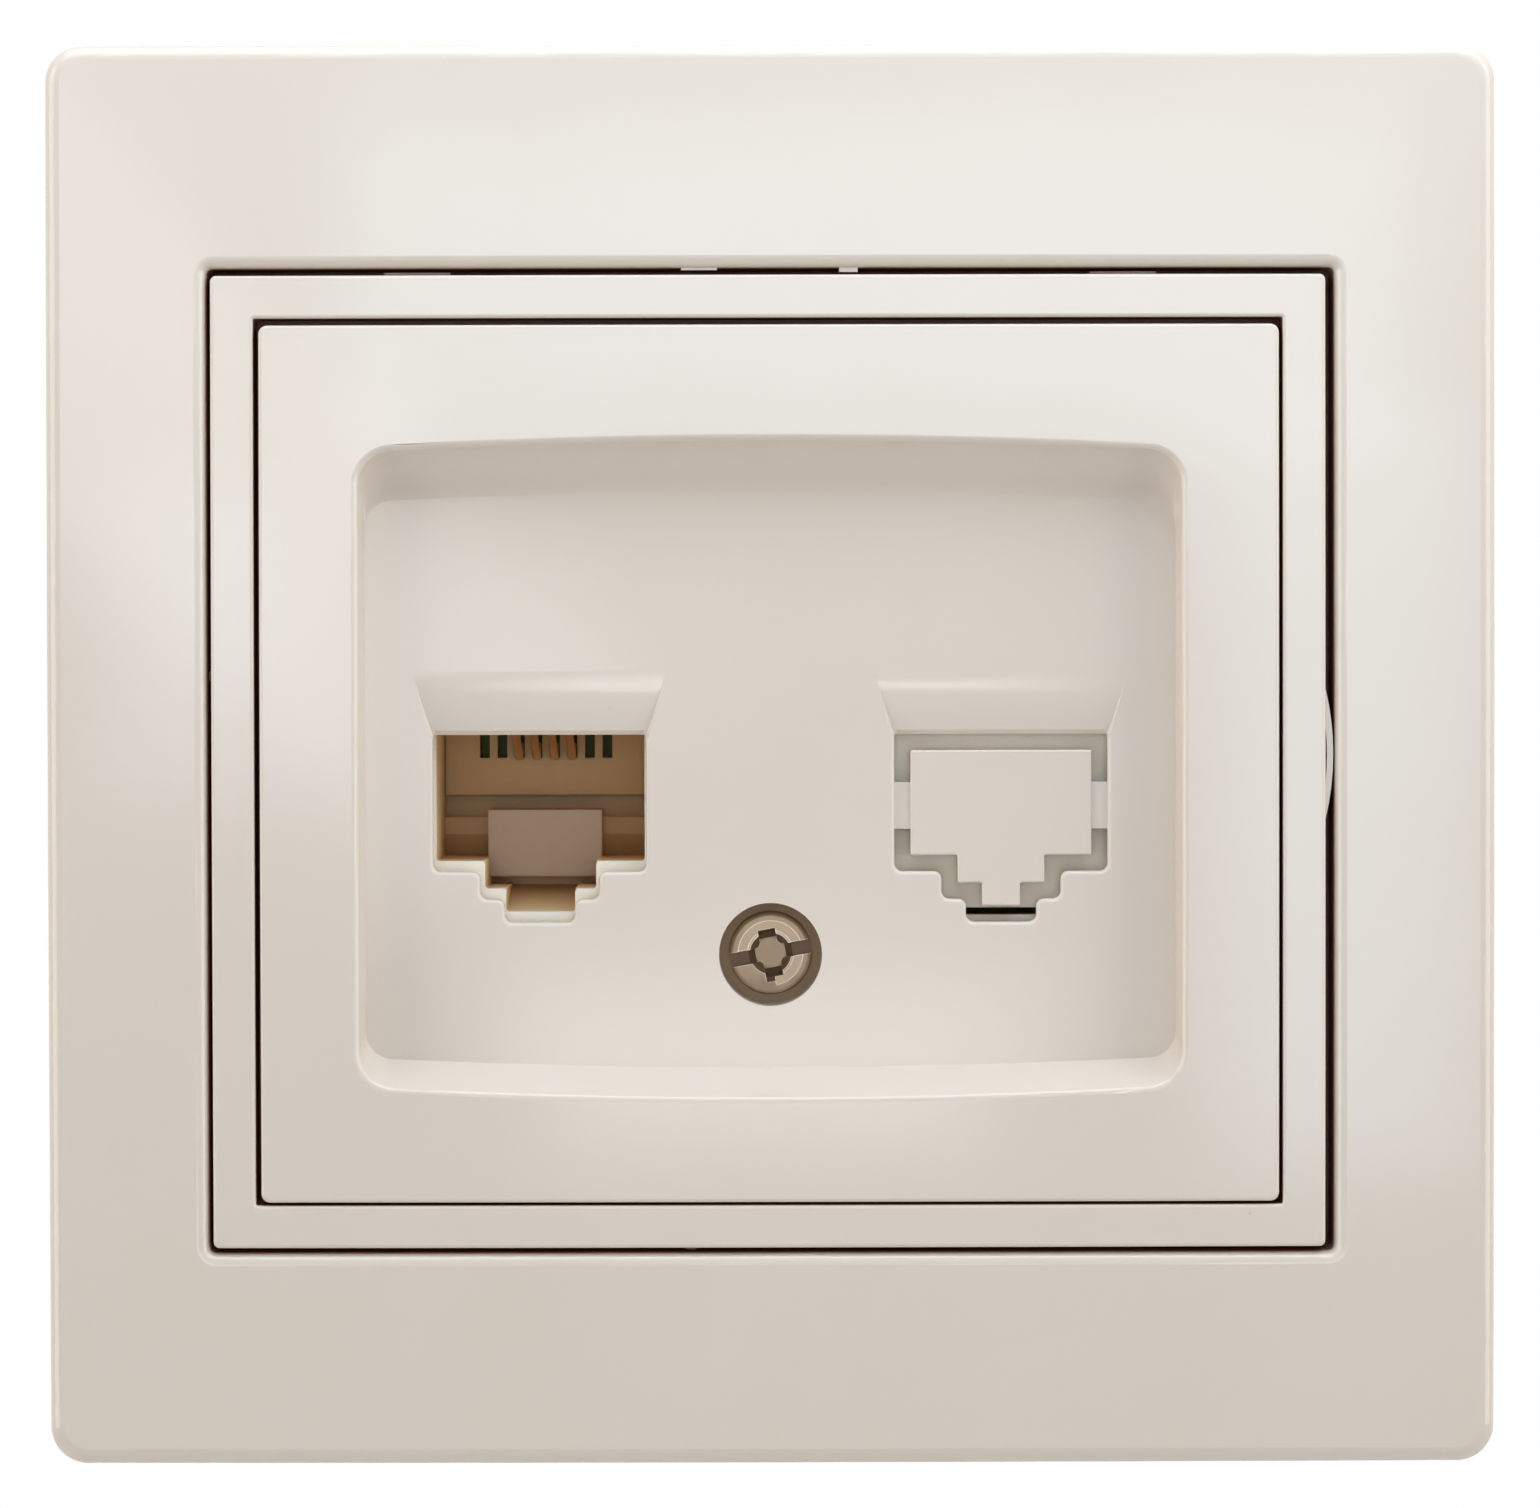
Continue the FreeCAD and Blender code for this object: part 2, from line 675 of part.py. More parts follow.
def make_screw_recess():
    """The recess of the screw, level at the origin: a slot, a tapered cross and a groove in three parts."""
    front = screw_head_y - overshoot
    deep = screw_head_y + screw_cross_depth
    reach = screw_head_diameter
    half_slot = screw_slot_width / 2
    slot = box(-reach, reach, front, screw_head_y + screw_slot_depth, -half_slot, half_slot)
    lean = (screw_cross_length - screw_cross_floor) / 2 / screw_cross_depth
    low, high = screw_cross_floor / 2, screw_cross_length / 2 + lean * overshoot
    arm = [(front, -high), (deep, -low), (deep, low), (front, high)]
    upright = prism_along_x(arm, -screw_cross_width / 2, screw_cross_width / 2)
    level = prism_along_x(arm, -half_slot, half_slot)
    level.rotate(vec(0, 0, 0), vec(0, 1, 0), 90)
    core = Part.makeCone(screw_core_diameter / 2, screw_core_floor / 2, screw_cross_depth,
                         vec(0, screw_head_y, 0), vec(0, 1, 0))
    groove = rod(0, 0, front, screw_head_y + screw_groove_depth, screw_groove_outer)
    groove = groove.cut(rod(0, 0, front, screw_seat_y, screw_groove_inner))
    groove = groove.cut(box(-reach, 0, front, screw_seat_y, -reach, 0))
    return slot.fuse([upright, level, core, groove])


def make_cover_screw():
    """A crowned pan head screw with a slot across its head and a shorter cross, turned as it was left."""
    head = rod(screw_x, screw_z, screw_head_y, screw_seat_y, screw_head_diameter / 2)
    head = head.common(Part.makeSphere(screw_head_crown,
                                       vec(screw_x, screw_head_y + screw_head_crown, screw_z)))
    head = head.makeFillet(screw_head_round, front_edges(head, screw_seat_y - flat_margin))
    recess = make_screw_recess()
    recess.rotate(vec(0, 0, 0), vec(0, 1, 0), -screw_turn)
    recess.translate(vec(screw_x, 0, screw_z))
    shank = rod(screw_x, screw_z, screw_seat_y, screw_end_y, screw_shank_diameter / 2)
    return head.fuse(shank).cut(recess)


def make_cover_nut():
    """The square nut that the cover screw runs into."""
    nut = rounded_block(nut_width, nut_width, nut_corner_radius, nut_front_y, nut_back_y, screw_x, screw_z)
    bore = rod(screw_x, screw_z, nut_front_y - overshoot, nut_back_y + overshoot,
               screw_shank_diameter / 2 + fit_gap)
    return nut.cut(bore)


def slot_hole(x, z, along_x):
    """A slotted hole through the support ring, running along X or along Z."""
    long_side, short_side = strap_slot_length, strap_slot_width
    width, height = (long_side, short_side) if along_x else (short_side, long_side)
    return rounded_block(width, height, strap_slot_width / 2, strap_front_y - overshoot, overshoot, x, z)


def make_lug(side):
    """A lug of the support ring, whose front edge is rounded where it was bent back."""
    near = side * strap_window_width / 2
    far = near + side * strap_thickness
    half = strap_lug_width / 2
    lug = box(min(near, far), max(near, far), strap_front_y, strap_lug_depth,
              strap_lug_rise - half, strap_lug_rise + half)
    bend = [edge for edge in front_edges(lug, strap_front_y + flat_margin)
            if max(abs(edge.BoundBox.XMin - near), abs(edge.BoundBox.XMax - near)) < flat_margin]
    return lug.makeFillet(strap_bend_radius, bend)


def make_support_ring():
    """The sheet steel ring on the wall, with its slots and holes and two lugs bent back into the box."""
    solid = rounded_block(strap_size, strap_size, strap_corner_radius, strap_front_y, 0)
    front = strap_front_y - overshoot
    solid = solid.cut(rounded_block(strap_window_width, strap_window_height, strap_window_corner,
                                    front, overshoot))
    half = strap_slot_spacing / 2
    for x, z, along_x in ((-half, 0, True), (half, 0, True), (0, -half, False), (0, half, False)):
        solid = solid.cut(slot_hole(x, z, along_x))
    corner = strap_hole_spacing / 2
    for x in (-corner, corner):
        for z in (-corner, corner):
            solid = solid.cut(rod(x, z, front, overshoot, strap_hole_diameter / 2))
    for side in (-1, 1):
        solid = solid.cut(rod(side * rivet_x, -rivet_drop, front, overshoot,
                              rivet_diameter / 2 + fit_gap))
        lug = make_lug(side)
        bounds = lug.BoundBox
        place = box(bounds.XMin, bounds.XMax, front, overshoot, bounds.ZMin, bounds.ZMax)
        solid = solid.cut(place).fuse(lug)
    return solid.removeSplitter()


def jack_points(x, top):
    """The stepped outline of the jack, a little smaller than the port in the plate before it."""
    wide, step, notch = jack_opening_width / 2, jack_step_width / 2, jack_notch_width / 2
    return [(x - wide, top), (x - wide, -jack_shoulder), (x - step, -jack_shoulder), (x - step, -jack_step),
            (x - notch, -jack_step), (x - notch, -jack_notch), (x + notch, -jack_notch),
            (x + notch, -jack_step),
            (x + step, -jack_step), (x + step, -jack_shoulder), (x + wide, -jack_shoulder), (x + wide, top)]


def make_carrier():
    """The hollow body behind the plate: walls, riveted flange, nut column and board posts."""
    solid = rounded_block(carrier_width, carrier_height, carrier_corner_radius,
                          carrier_face_y, carrier_back, 0, carrier_z)
    inside = rounded_block(carrier_width - 2 * carrier_wall, carrier_height - 2 * carrier_wall,
                           carrier_corner_radius - carrier_wall, carrier_inner_y, carrier_back + overshoot,
                           0, carrier_z)
    solid = solid.cut(inside)
    flange = rounded_block(carrier_width + 2 * flange_reach, carrier_height, carrier_corner_radius,
                           strap_front_y - flange_thickness, strap_front_y, 0, carrier_z)
    solid = solid.fuse(flange.cut(rounded_block(carrier_width - carrier_wall, carrier_height - carrier_wall,
                                                carrier_corner_radius, carrier_face_y, 0, 0, carrier_z)))
    column = rod(screw_x, screw_z, carrier_face_y, jack_back_y - fit_gap, column_radius)
    posts = [rod(x, z, carrier_inner_y, jack_back_y, board_post_diameter / 2)
             for x, z in board_screw_places()]
    solid = solid.fuse([column] + posts)
    open_back = jack_back_y + overshoot
    solid = solid.cut(rod(screw_x, screw_z, carrier_face_y - overshoot, boss_back_y,
                          boss_radius + 2 * fit_gap))
    solid = solid.cut(rod(screw_x, screw_z, carrier_face_y, open_back,
                          screw_shank_diameter / 2 + screw_shank_clearance))
    pocket_width = nut_width + 2 * fit_gap
    solid = solid.cut(rounded_block(pocket_width, pocket_width, nut_corner_radius, nut_front_y, open_back,
                                    screw_x, screw_z))
    for x, z in board_screw_places():
        solid = solid.cut(rod(x, z, board_back_y - board_screw_length - board_screw_hole_extra, open_back,
                              board_screw_diameter / 2))
    solid = solid.cut(slab(jack_points(left_port_x, jack_opening_top), jack_corner_radius,
                           carrier_face_y - overshoot, carrier_inner_y + flat_margin))
    relief = box(right_port_x - relief_width / 2, right_port_x + relief_width / 2,
                 carrier_face_y - overshoot, carrier_inner_y, -relief_top - relief_height, -relief_top)
    solid = solid.cut(relief)
    for side in (-1, 1):
        solid = solid.cut(rod(side * rivet_x, -rivet_drop, strap_front_y - flange_thickness - overshoot, 0,
                              rivet_diameter / 2 + fit_gap))
    return solid


def make_strap_rivet(side):
    """A rivet through the carrier's flange and the support ring, with a domed head and an upset tail."""
    x = side * rivet_x
    front = strap_front_y - flange_thickness
    shank = rod(x, -rivet_drop, front, 0, rivet_diameter / 2)
    head = rod(x, -rivet_drop, front - rivet_head_height, front, rivet_head_diameter / 2)
    head = head.makeFillet(rivet_head_round, front_edges(head, front - pick_margin))
    tail = rod(x, -rivet_drop, 0, rivet_head_height, rivet_tail_diameter / 2)
    return shank.fuse([head, tail])


def make_jack_housing():
    """The jack's body: stepped cavity, shaped back wall, latch ramp and the bed of the contact insert."""
    x = left_port_x
    half = jack_width / 2
    solid = box(x - half, x + half, carrier_inner_y, jack_back_y, -jack_bottom, insert_top + jack_wall)
    cavity = slab(jack_points(x, insert_top), 0, carrier_inner_y - overshoot, comb_y)
    bed_half = jack_opening_width / 2
    bed = box(x - bed_half, x + bed_half, comb_y - overshoot, jack_back_y + overshoot,
              -jack_recess_top, insert_top)
    solid = solid.cut(cavity).cut(bed)
    near = comb_y - flat_margin
    deep = comb_y + jack_recess_depth
    solid = solid.cut(box(x - bed_half, x + bed_half, near, deep, -jack_recess_bottom, -jack_recess_top))
    solid = solid.cut(prism_along_x([(near, -jack_rib_bottom), (comb_y + jack_low_depth, -jack_shoulder),
                                     (near, -jack_shoulder)], x - bed_half, x + bed_half))
    pad = box(x - jack_pad_width / 2, x + jack_pad_width / 2, comb_y - jack_pad_depth, deep,
              -jack_pad_bottom, -jack_pad_top)
    ramp_half = jack_notch_width / 2
    ramp_y = carrier_inner_y + ramp_start
    ramp = prism_along_x([(ramp_y, -jack_notch), (comb_y, -jack_notch), (comb_y, -jack_notch + ramp_rise)],
                         x - ramp_half, x + ramp_half)
    return solid.fuse([pad, ramp])


def slot_x(index):
    """Where a slot of the comb lies."""
    return left_port_x + (index - (comb_slots - 1) / 2) * contact_pitch


def make_contact_insert():
    """The comb: a back plate with eight slots and a guide over the cavity with a groove for each slot."""
    half = jack_opening_width / 2 - fit_gap
    top = insert_top
    back = box(left_port_x - half, left_port_x + half, comb_y, jack_back_y, -jack_recess_top + fit_gap, top)
    guide = box(left_port_x - half, left_port_x + half, carrier_inner_y + insert_guide_front, comb_y,
                insert_guide_bottom, top)
    solid = back.fuse(guide)
    half_slot = comb_slot_width / 2
    for i in range(comb_slots):
        solid = solid.cut(box(slot_x(i) - half_slot, slot_x(i) + half_slot, carrier_inner_y,
                              jack_back_y + overshoot, -comb_slot_bottom, comb_slot_top))
    return solid


def contact_height():
    """The height at which the contact wires run back to the board."""
    return comb_slot_top - contact_diameter / 2


def make_contact_spring(index):
    """A round contact wire: from the board along its groove, round a bend and back down into the comb."""
    x = slot_x(index + (comb_slots - contact_count) // 2)
    bend = contact_bend_radius
    centre_y = carrier_inner_y + insert_guide_front
    centre_z = contact_height() - bend
    low_y = comb_y - contact_hook_gap
    across = low_y - centre_y
    down = centre_z + contact_low
    slope = math.acos(bend / math.hypot(across, down)) - math.atan2(across, down)
    sine, cosine = math.sin(slope), math.cos(slope)
    hook = contact_hook_radius
    hook_y, hook_z = low_y + hook * sine, -contact_low + hook * cosine
    turn = math.radians(contact_hook_turn)
    start = vec(x, board_back_y + contact_tail, contact_height())
    bend_start = vec(x, centre_y, contact_height())
    half_turn = (math.pi - slope) / 2
    bend_middle = vec(x, centre_y - bend * math.sin(half_turn), centre_z + bend * math.cos(half_turn))
    bend_end = vec(x, centre_y - bend * sine, centre_z - bend * cosine)
    hook_start = vec(x, low_y, -contact_low)
    middle = (turn - slope) / 2
    hook_middle = vec(x, hook_y + hook * math.sin(middle), hook_z - hook * math.cos(middle))
    hook_end = vec(x, hook_y + hook * math.sin(turn), hook_z - hook * math.cos(turn))
    tip = hook_end + vec(0, math.cos(turn), math.sin(turn)) * contact_end
    edges = [Part.LineSegment(start, bend_start), Part.Arc(bend_start, bend_middle, bend_end),
             Part.LineSegment(bend_end, hook_start), Part.Arc(hook_start, hook_middle, hook_end),
             Part.LineSegment(hook_end, tip)]
    path = Part.Wire([e.toShape() for e in edges])
    circle = Part.Wire([Part.makeCircle(contact_diameter / 2, start, vec(0, -1, 0))])
    return path.makePipeShell([circle], True, True)


def board_screw_places():
    """Where the two board screws lie."""
    return [(-board_screw_x, board_screw_low), (board_screw_x, board_screw_high)]


def make_circuit_board():
    """The board behind the jack, with holes for its screws and for the contact wires."""
    solid = rounded_block(board_width, board_height, board_corner_radius, jack_back_y, board_back_y,
                          0, carrier_z)
    front, back = jack_back_y - overshoot, board_back_y + overshoot
    for x, z in board_screw_places():
        solid = solid.cut(rod(x, z, front, back, board_screw_diameter / 2 + 2 * fit_gap))
    for i in range(contact_count):
        x = slot_x(i + (comb_slots - contact_count) // 2)
        solid = solid.cut(rod(x, contact_height(), front, back, contact_diameter / 2 + fit_gap))
    return solid


def slotted_screw(x, z, head_y, head_radius, head_height, shank_end_y, shank_radius):
    """A cheese head screw whose head lies behind head_y and whose shank runs forward to shank_end_y."""
    head = rod(x, z, head_y, head_y + head_height, head_radius)
    shank = rod(x, z, shank_end_y, head_y, shank_radius)
    half_slot = driver_slot_width / 2
    slot = box(x - 2 * head_radius, x + 2 * head_radius, head_y + head_height - driver_slot_depth,
               head_y + head_height + overshoot, z - half_slot, z + half_slot)
    return head.fuse(shank).cut(slot)


def make_board_screw(index):
    x, z = board_screw_places()[index]
    return slotted_screw(x, z, board_back_y, board_screw_head / 2, board_screw_head_height,
                         board_back_y - board_screw_length, board_screw_diameter / 2)


def terminal_x(index):
    """Where a pole of the terminal block lies."""
    return (index - (terminal_count - 1) / 2) * terminal_pitch


def make_terminal_block():
    """The terminal body: for each pole a chamber for its clamp, a wire entry and a screw hole."""
    half = terminal_width / 2
    z_low, z_high = -terminal_drop - terminal_height / 2, -terminal_drop + terminal_height / 2
    solid = box(-half, half, board_back_y, terminal_back_y, z_low, z_high)
    for i in range(terminal_count):
        x = terminal_x(i)
        chamber_half = clamp_width / 2 + clamp_play
        chamber_z = clamp_height / 2 + clamp_play
        chamber = box(x - chamber_half, x + chamber_half, clamp_y, clamp_y + clamp_depth + clamp_play,
                      -terminal_drop - chamber_z, -terminal_drop + chamber_z)
        entry_y = clamp_y + wire_entry_inset
        entry = box(x - wire_entry / 2, x + wire_entry / 2, entry_y, entry_y + wire_entry,
                    z_low - overshoot, -terminal_drop)
        driver = rod(x, -terminal_drop, clamp_y + clamp_depth / 2, terminal_back_y + overshoot,
                     terminal_screw_head / 2 + driver_play)
        solid = solid.cut(chamber.fuse([entry, driver]))
    return solid


def make_terminal_clamp(index):
    """A brass clamp body: a block with a wire entry through it and a bore for its screw."""
    x = terminal_x(index)
    solid = box(x - clamp_width / 2, x + clamp_width / 2, clamp_y, clamp_y + clamp_depth,
                -terminal_drop - clamp_height / 2, -terminal_drop + clamp_height / 2)
    half = clamp_entry / 2
    entry_y = clamp_y + clamp_entry_inset
    entry = box(x - half, x + half, entry_y, entry_y + clamp_entry,
                -terminal_drop - clamp_height, -terminal_drop + clamp_height)
    bore = rod(x, -terminal_drop, entry_y, clamp_y + clamp_depth + overshoot,
               terminal_screw_diameter / 2 + fit_gap)
    return solid.cut(entry).cut(bore)


def make_terminal_screw(index):
    seat = clamp_y + clamp_depth + clamp_play
    return slotted_screw(terminal_x(index), -terminal_drop, seat, terminal_screw_head / 2,
                         terminal_screw_head_height, seat - terminal_screw_length,
                         terminal_screw_diameter / 2)


def build_parts():
    """Every piece of the socket under the name that it is written with."""
    shapes = {
        "outer_frame": make_outer_frame(),
        "trim_ring": make_trim_ring(),
        "centre_plate": make_centre_plate(),
        "cover_screw": make_cover_screw(),
        "cover_nut": make_cover_nut(),
        "support_ring": make_support_ring(),
        "carrier": make_carrier(),
        "strap_rivet_left": make_strap_rivet(-1),
        "strap_rivet_right": make_strap_rivet(1),
        "jack_housing": make_jack_housing(),
        "contact_insert": make_contact_insert(),
        "circuit_board": make_circuit_board(),
        "board_screw_left": make_board_screw(0),
        "board_screw_right": make_board_screw(1),
        "terminal_block": make_terminal_block(),
    }
    for i in range(contact_count):
        shapes["contact_spring_%d" % (i + 1)] = make_contact_spring(i)
    for i in range(terminal_count):
        shapes["terminal_clamp_%d" % (i + 1)] = make_terminal_clamp(i)
        shapes["terminal_screw_%d" % (i + 1)] = make_terminal_screw(i)
    return shapes


os.makedirs("parts", exist_ok=True)
for name, shape in build_parts().items():
    print(name, shape.isValid(), len(shape.Solids), round(shape.Volume, 1))
    shape.exportStep("parts/" + name + ".step")
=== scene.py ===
import math

import bmesh
import bpy
from mathutils import Matrix, Vector


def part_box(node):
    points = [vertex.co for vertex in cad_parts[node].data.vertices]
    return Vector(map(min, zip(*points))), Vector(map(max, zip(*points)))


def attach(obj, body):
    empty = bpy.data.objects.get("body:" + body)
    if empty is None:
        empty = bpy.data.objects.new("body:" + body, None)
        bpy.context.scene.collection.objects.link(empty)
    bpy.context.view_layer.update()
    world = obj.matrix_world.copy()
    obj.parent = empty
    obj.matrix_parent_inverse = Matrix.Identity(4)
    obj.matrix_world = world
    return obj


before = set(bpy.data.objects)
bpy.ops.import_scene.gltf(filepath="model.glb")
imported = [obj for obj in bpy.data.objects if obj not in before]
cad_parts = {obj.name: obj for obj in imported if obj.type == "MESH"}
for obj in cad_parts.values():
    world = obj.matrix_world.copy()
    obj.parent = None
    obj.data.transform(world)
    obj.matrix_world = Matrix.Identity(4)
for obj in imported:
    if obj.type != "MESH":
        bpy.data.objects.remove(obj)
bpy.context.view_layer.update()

bl_info = {
    "name": "Ethernet wall socket",
    "version": (1, 0, 0),
    "blender": (4, 5, 0),
    "location": "3D View > Sidebar > Socket",
    "description": "Finishes, small parts and a studio for a flush mounted data socket",
    "category": "Object",
}

# Lengths are metres in Blender, and millimetres times MM here.
MM = 0.001
WHITE = "#ffffff"
PAPER = "#f2f2f2"

# Refractive indices of the plastics. The metals keep the default.
ABS_IOR = 1.53
POLYAMIDE_IOR = 1.53
POLYESTER_IOR = 1.57
EPOXY_IOR = 1.5

# The painted gap shade starts between these shares of the plate's half width and half height, well outside
# its dish.
PLATE_EDGE = (0.9, 0.94)
# How open a point is to its surroundings where the painted gap shade is darkest, and where there is none.
GAP_SHADE_OPENNESS = (0.16, 0.44)
# Share of the places for a speck of dust that stay clean, and how much of the plastic a speck hides.
DUST_FREE = 0.9
DUST_COVER = 0.6
# Roughness where painted shade lies: in the gaps between the mouldings and on the floor of the screw's hole.
PAINTED_SHADE_ROUGHNESS = 0.7

# Painted shade on the floor of the screw's hole: where it fades out round the screw's axis, its depth below
# the top of the screw, and how much of the plastic it hides.
HOLE_SHADE_RIM = (2.86 * MM, 2.9 * MM)
HOLE_SHADE_DEPTH = 0.5 * MM
HOLE_SHADE_COVER = 0.85

# Painted shade in the cover screw's cross: from the star in its middle to the ring round it, from the ring
# to the arms, and from the screw's top down into the cross. The arms' cover is added to the ring's.
CROSS_SHADE_RING = (0.8 * MM, 0.88 * MM)
CROSS_SHADE_ARMS = (1.12 * MM, 1.24 * MM)
CROSS_SHADE_DEPTH = (0.36 * MM, 0.5 * MM)
CROSS_SHADE_STAR_COVER = 0.35
CROSS_SHADE_RING_COVER = 0.65
CROSS_SHADE_ARMS_COVER = 0.33
# How metallic the screw still looks under the thickest painted shade.
CROSS_SHADE_METALLIC = 0.2
# Cosines of the turn at an edge where the painted highlight is full, and where there is none.
EDGE_HIGHLIGHT_TURN = (0.8, 0.99)
# How much smoother and rougher a metal gets from place to place, and a plastic from grain to grain.
METAL_DRIFT = (-0.08, 0.1)
GRAIN_DRIFT = 0.06

# Flat front face of the block inside the jack: its middle, and how far it reaches to each side.
LATCH_BLOCK_MIDDLE = (-13.05 * MM, 1.5 * MM, -5.28 * MM)
LATCH_BLOCK_REACH = (3.3 * MM, 0.06 * MM, 1.95 * MM)

# The solder mask's waves, the glass cloth below it, drawn a little coarser than real so that it shows, and
# the clouded places on solder.
MASK_WAVE = 2.5 * MM
CLOTH_CHECK = 0.8 * MM
SOLDER_CLOUD = 0.3 * MM

# The hollow flank of a solder joint from the board to the tail: shares of its radius and of its height.
SOLDER_FLANK = [(0.0, -0.1), (1.0, -0.1), (1.0, 0.06), (0.72, 0.2), (0.58, 0.48), (0.52, 0.85), (0.4, 1.0),
                (0.0, 1.0)]
SOLDER_STEPS = 28
# The end of a contact wire's tail, whose middle is where its solder joint goes.
TAIL_END = 0.05 * MM
# How much is cut off a track's corner, how far it ends below the terminal block's top, and how deep it is set
# in the board.
TRACK_CORNER = 0.6 * MM
TRACK_END = 1.0 * MM
TRACK_SINK = 0.01 * MM

PHOTO_WIDTH = 1540
# The photograph's frame lies one pixel off the socket's middle.
PHOTO_SHIFT = (-1, 1)
SENSOR_WIDTH = 36.0
CAMERA_NEAR = 10 * MM

# Lamps: name, place, width and height in metres, radiance, colour, and roll in degrees. Daylight falls from
# close above, and the room's lamps stand at both sides. The last five stand behind the camera, where the
# gloss of the covers mirrors them.
LAMPS = [
    ("strip_above", (0.0, -0.06, 0.11), 0.20, 0.06, 2.6, "cool", 0),
    ("strip_above_right", (0.10, -0.08, 0.13), 0.12, 0.10, 1.6, "cool", 0),
    ("ceiling_box", (0.0, -0.036, 0.30), 0.40, 0.20, 1.5, "white", 0),
    ("left_box", (-0.56, -0.214, 0.052), 0.40, 0.60, 2.6, "warm", 0),
    ("right_box", (0.56, -0.214, 0.052), 0.40, 0.60, 2.5, "warm", 0),
    ("rear_box", (0.0, 1.0, 0.35), 0.60, 0.40, 3.0, "white", 0),
    ("mirrored_above", (0.03, -1.0, 0.11), 0.30, 0.09, 3.2, "cool", 0),
    ("mirrored_left", (-0.15, -1.0, 0.058), 0.26, 0.088, 2.2, "white", -45),
    ("mirrored_low", (0.0, -1.0, -0.10), 0.12, 0.06, 3.4, "white", 0),
    ("mirrored_right", (0.16, -1.0, -0.03), 0.07, 0.21, 3.0, "cool", 0),
    ("mirrored_left_low", (-0.155, -1.0, 0.01), 0.06, 0.09, 1.8, "cool", 0),
]
# Shares of the floor's radius between which it fades to white.
FLOOR_FADE = (0.45, 0.97)
FLOOR_SEGMENTS = 96


def linear(code):
    """An sRGB hex colour as linear red, green, blue and alpha."""
    shares = [int(code[i:i + 2], 16) / 255 for i in (1, 3, 5)]
    return [c / 12.92 if c <= 0.04045 else ((c + 0.055) / 1.055) ** 2.4 for c in shares] + [1.0]


def colour_property(name, description, code):
    return bpy.props.FloatVectorProperty(name=name, description=description, subtype="COLOR", size=4,
                                         min=0, max=1, default=linear(code))


def length_property(name, description, millimetres):
    return bpy.props.FloatProperty(name=name, description=description, subtype="DISTANCE", unit="LENGTH",
                                   min=0, precision=5, default=millimetres * MM)


def angle_property(name, description, degrees):
    return bpy.props.FloatProperty(name=name, description=description, subtype="ANGLE", unit="ROTATION",
                                   default=math.radians(degrees))


def share_property(name, description, default, highest=1):
    return bpy.props.FloatProperty(name=name, description=description, subtype="FACTOR", min=0, max=highest,
                                   default=default)


class SocketCovers(bpy.types.PropertyGroup):
    """The cream cover mouldings that face the room."""
    colour: colour_property("Colour", "Cream of the cover mouldings", "#ddd2c6")
    cloud_colour: colour_property("Cloud colour", "Slightly duller cream of the flow marks", "#dacec1")
    dust_colour: colour_property("Dust colour", "Specks of dust on the mouldings", "#9a8f82")
    # Painted shade: the dark reddish brown laid in the narrow gaps between the mouldings.
    gap_shade_colour: colour_property("Grime colour", "Dirt in the gaps between the mouldings", "#85492a")
    # Painted shade: a warm tint laid on the floor of the screw's hole, for the brown of its deep shade.
    hole_shade_colour: colour_property("Grease colour", "Grease in the screw's hole", "#eac79b")
    # Reach of the painted shade in the gaps.
    gap_shade_reach: length_property("Grime reach", "How far from a narrow gap's walls the dirt is judged", 1.6)
    roughness: share_property("Roughness", "Gloss of the polished mould, lower is glossier", 0.09)
    cloud_size: length_property("Cloud size", "Size of the flow marks", 9.0)
    dust_spacing: length_property("Dust spacing", "Distance between places where a speck may lie", 3.0)
    dust_radius: length_property("Dust radius", "Radius of a speck of dust", 0.07)
    wave_size: length_property("Wave size", "Length of the shallow waves of the moulded surface", 3.0)


class SocketBody(bpy.types.PropertyGroup):
    """The plastic parts behind the plate."""
    # Partly painted light: the carrier's own cream, set lighter and warmer for light passing through the
    # plate.
    carrier_colour: colour_property("Carrier colour", "Cream polyamide of the carrier", "#fdebd8")
    # Painted shade: a browner tan copy of the cream plastic, for the brown of the shade deep inside the jack.
    jack_shaded_colour: colour_property("Jack colour", "Tan polyester of the jack", "#e8c594")
    pad_colour: colour_property("Pad colour", "Scuffed face of the block under the plug's latch", "#e0cfbd")
    # Painted shade: the comb takes the same kind of browner tan copy of the cream plastic.
    comb_shaded_colour: colour_property("Comb colour", "Tan polyester of the comb", "#e3bd8c")
    terminal_colour: colour_property("Terminal colour", "Grey polyamide of the terminal block", "#8b9092")
    glow_reach: length_property("Glow reach", "How far light spreads inside the unfilled plastics", 2.5)
    spark_size: length_property("Mould texture", "Size of the grains of the spark-eroded mould", 0.12)


class SocketBoard(bpy.types.PropertyGroup):
    """The circuit board with its tracks and solder joints."""
    mask_colour: colour_property("Mask colour", "Green solder mask over bare laminate", "#74782c")
    track_colour: colour_property("Track colour", "Green solder mask over copper", "#7a8536")
    solder_colour: colour_property("Solder colour", "Tin solder round the tails of the contacts", "#c8cacc")
    track_width: length_property("Track width", "Width of a copper track", 0.5)
    track_height: length_property("Track height", "How far a track stands out under the mask", 0.07)
    track_step: length_property("Track step", "Distance between neighbouring tracks", 0.8)
    solder_radius: length_property("Solder radius", "Radius of a solder joint at the board", 0.46)
    solder_height: length_property("Solder height", "Height of a solder joint on its tail", 0.6)


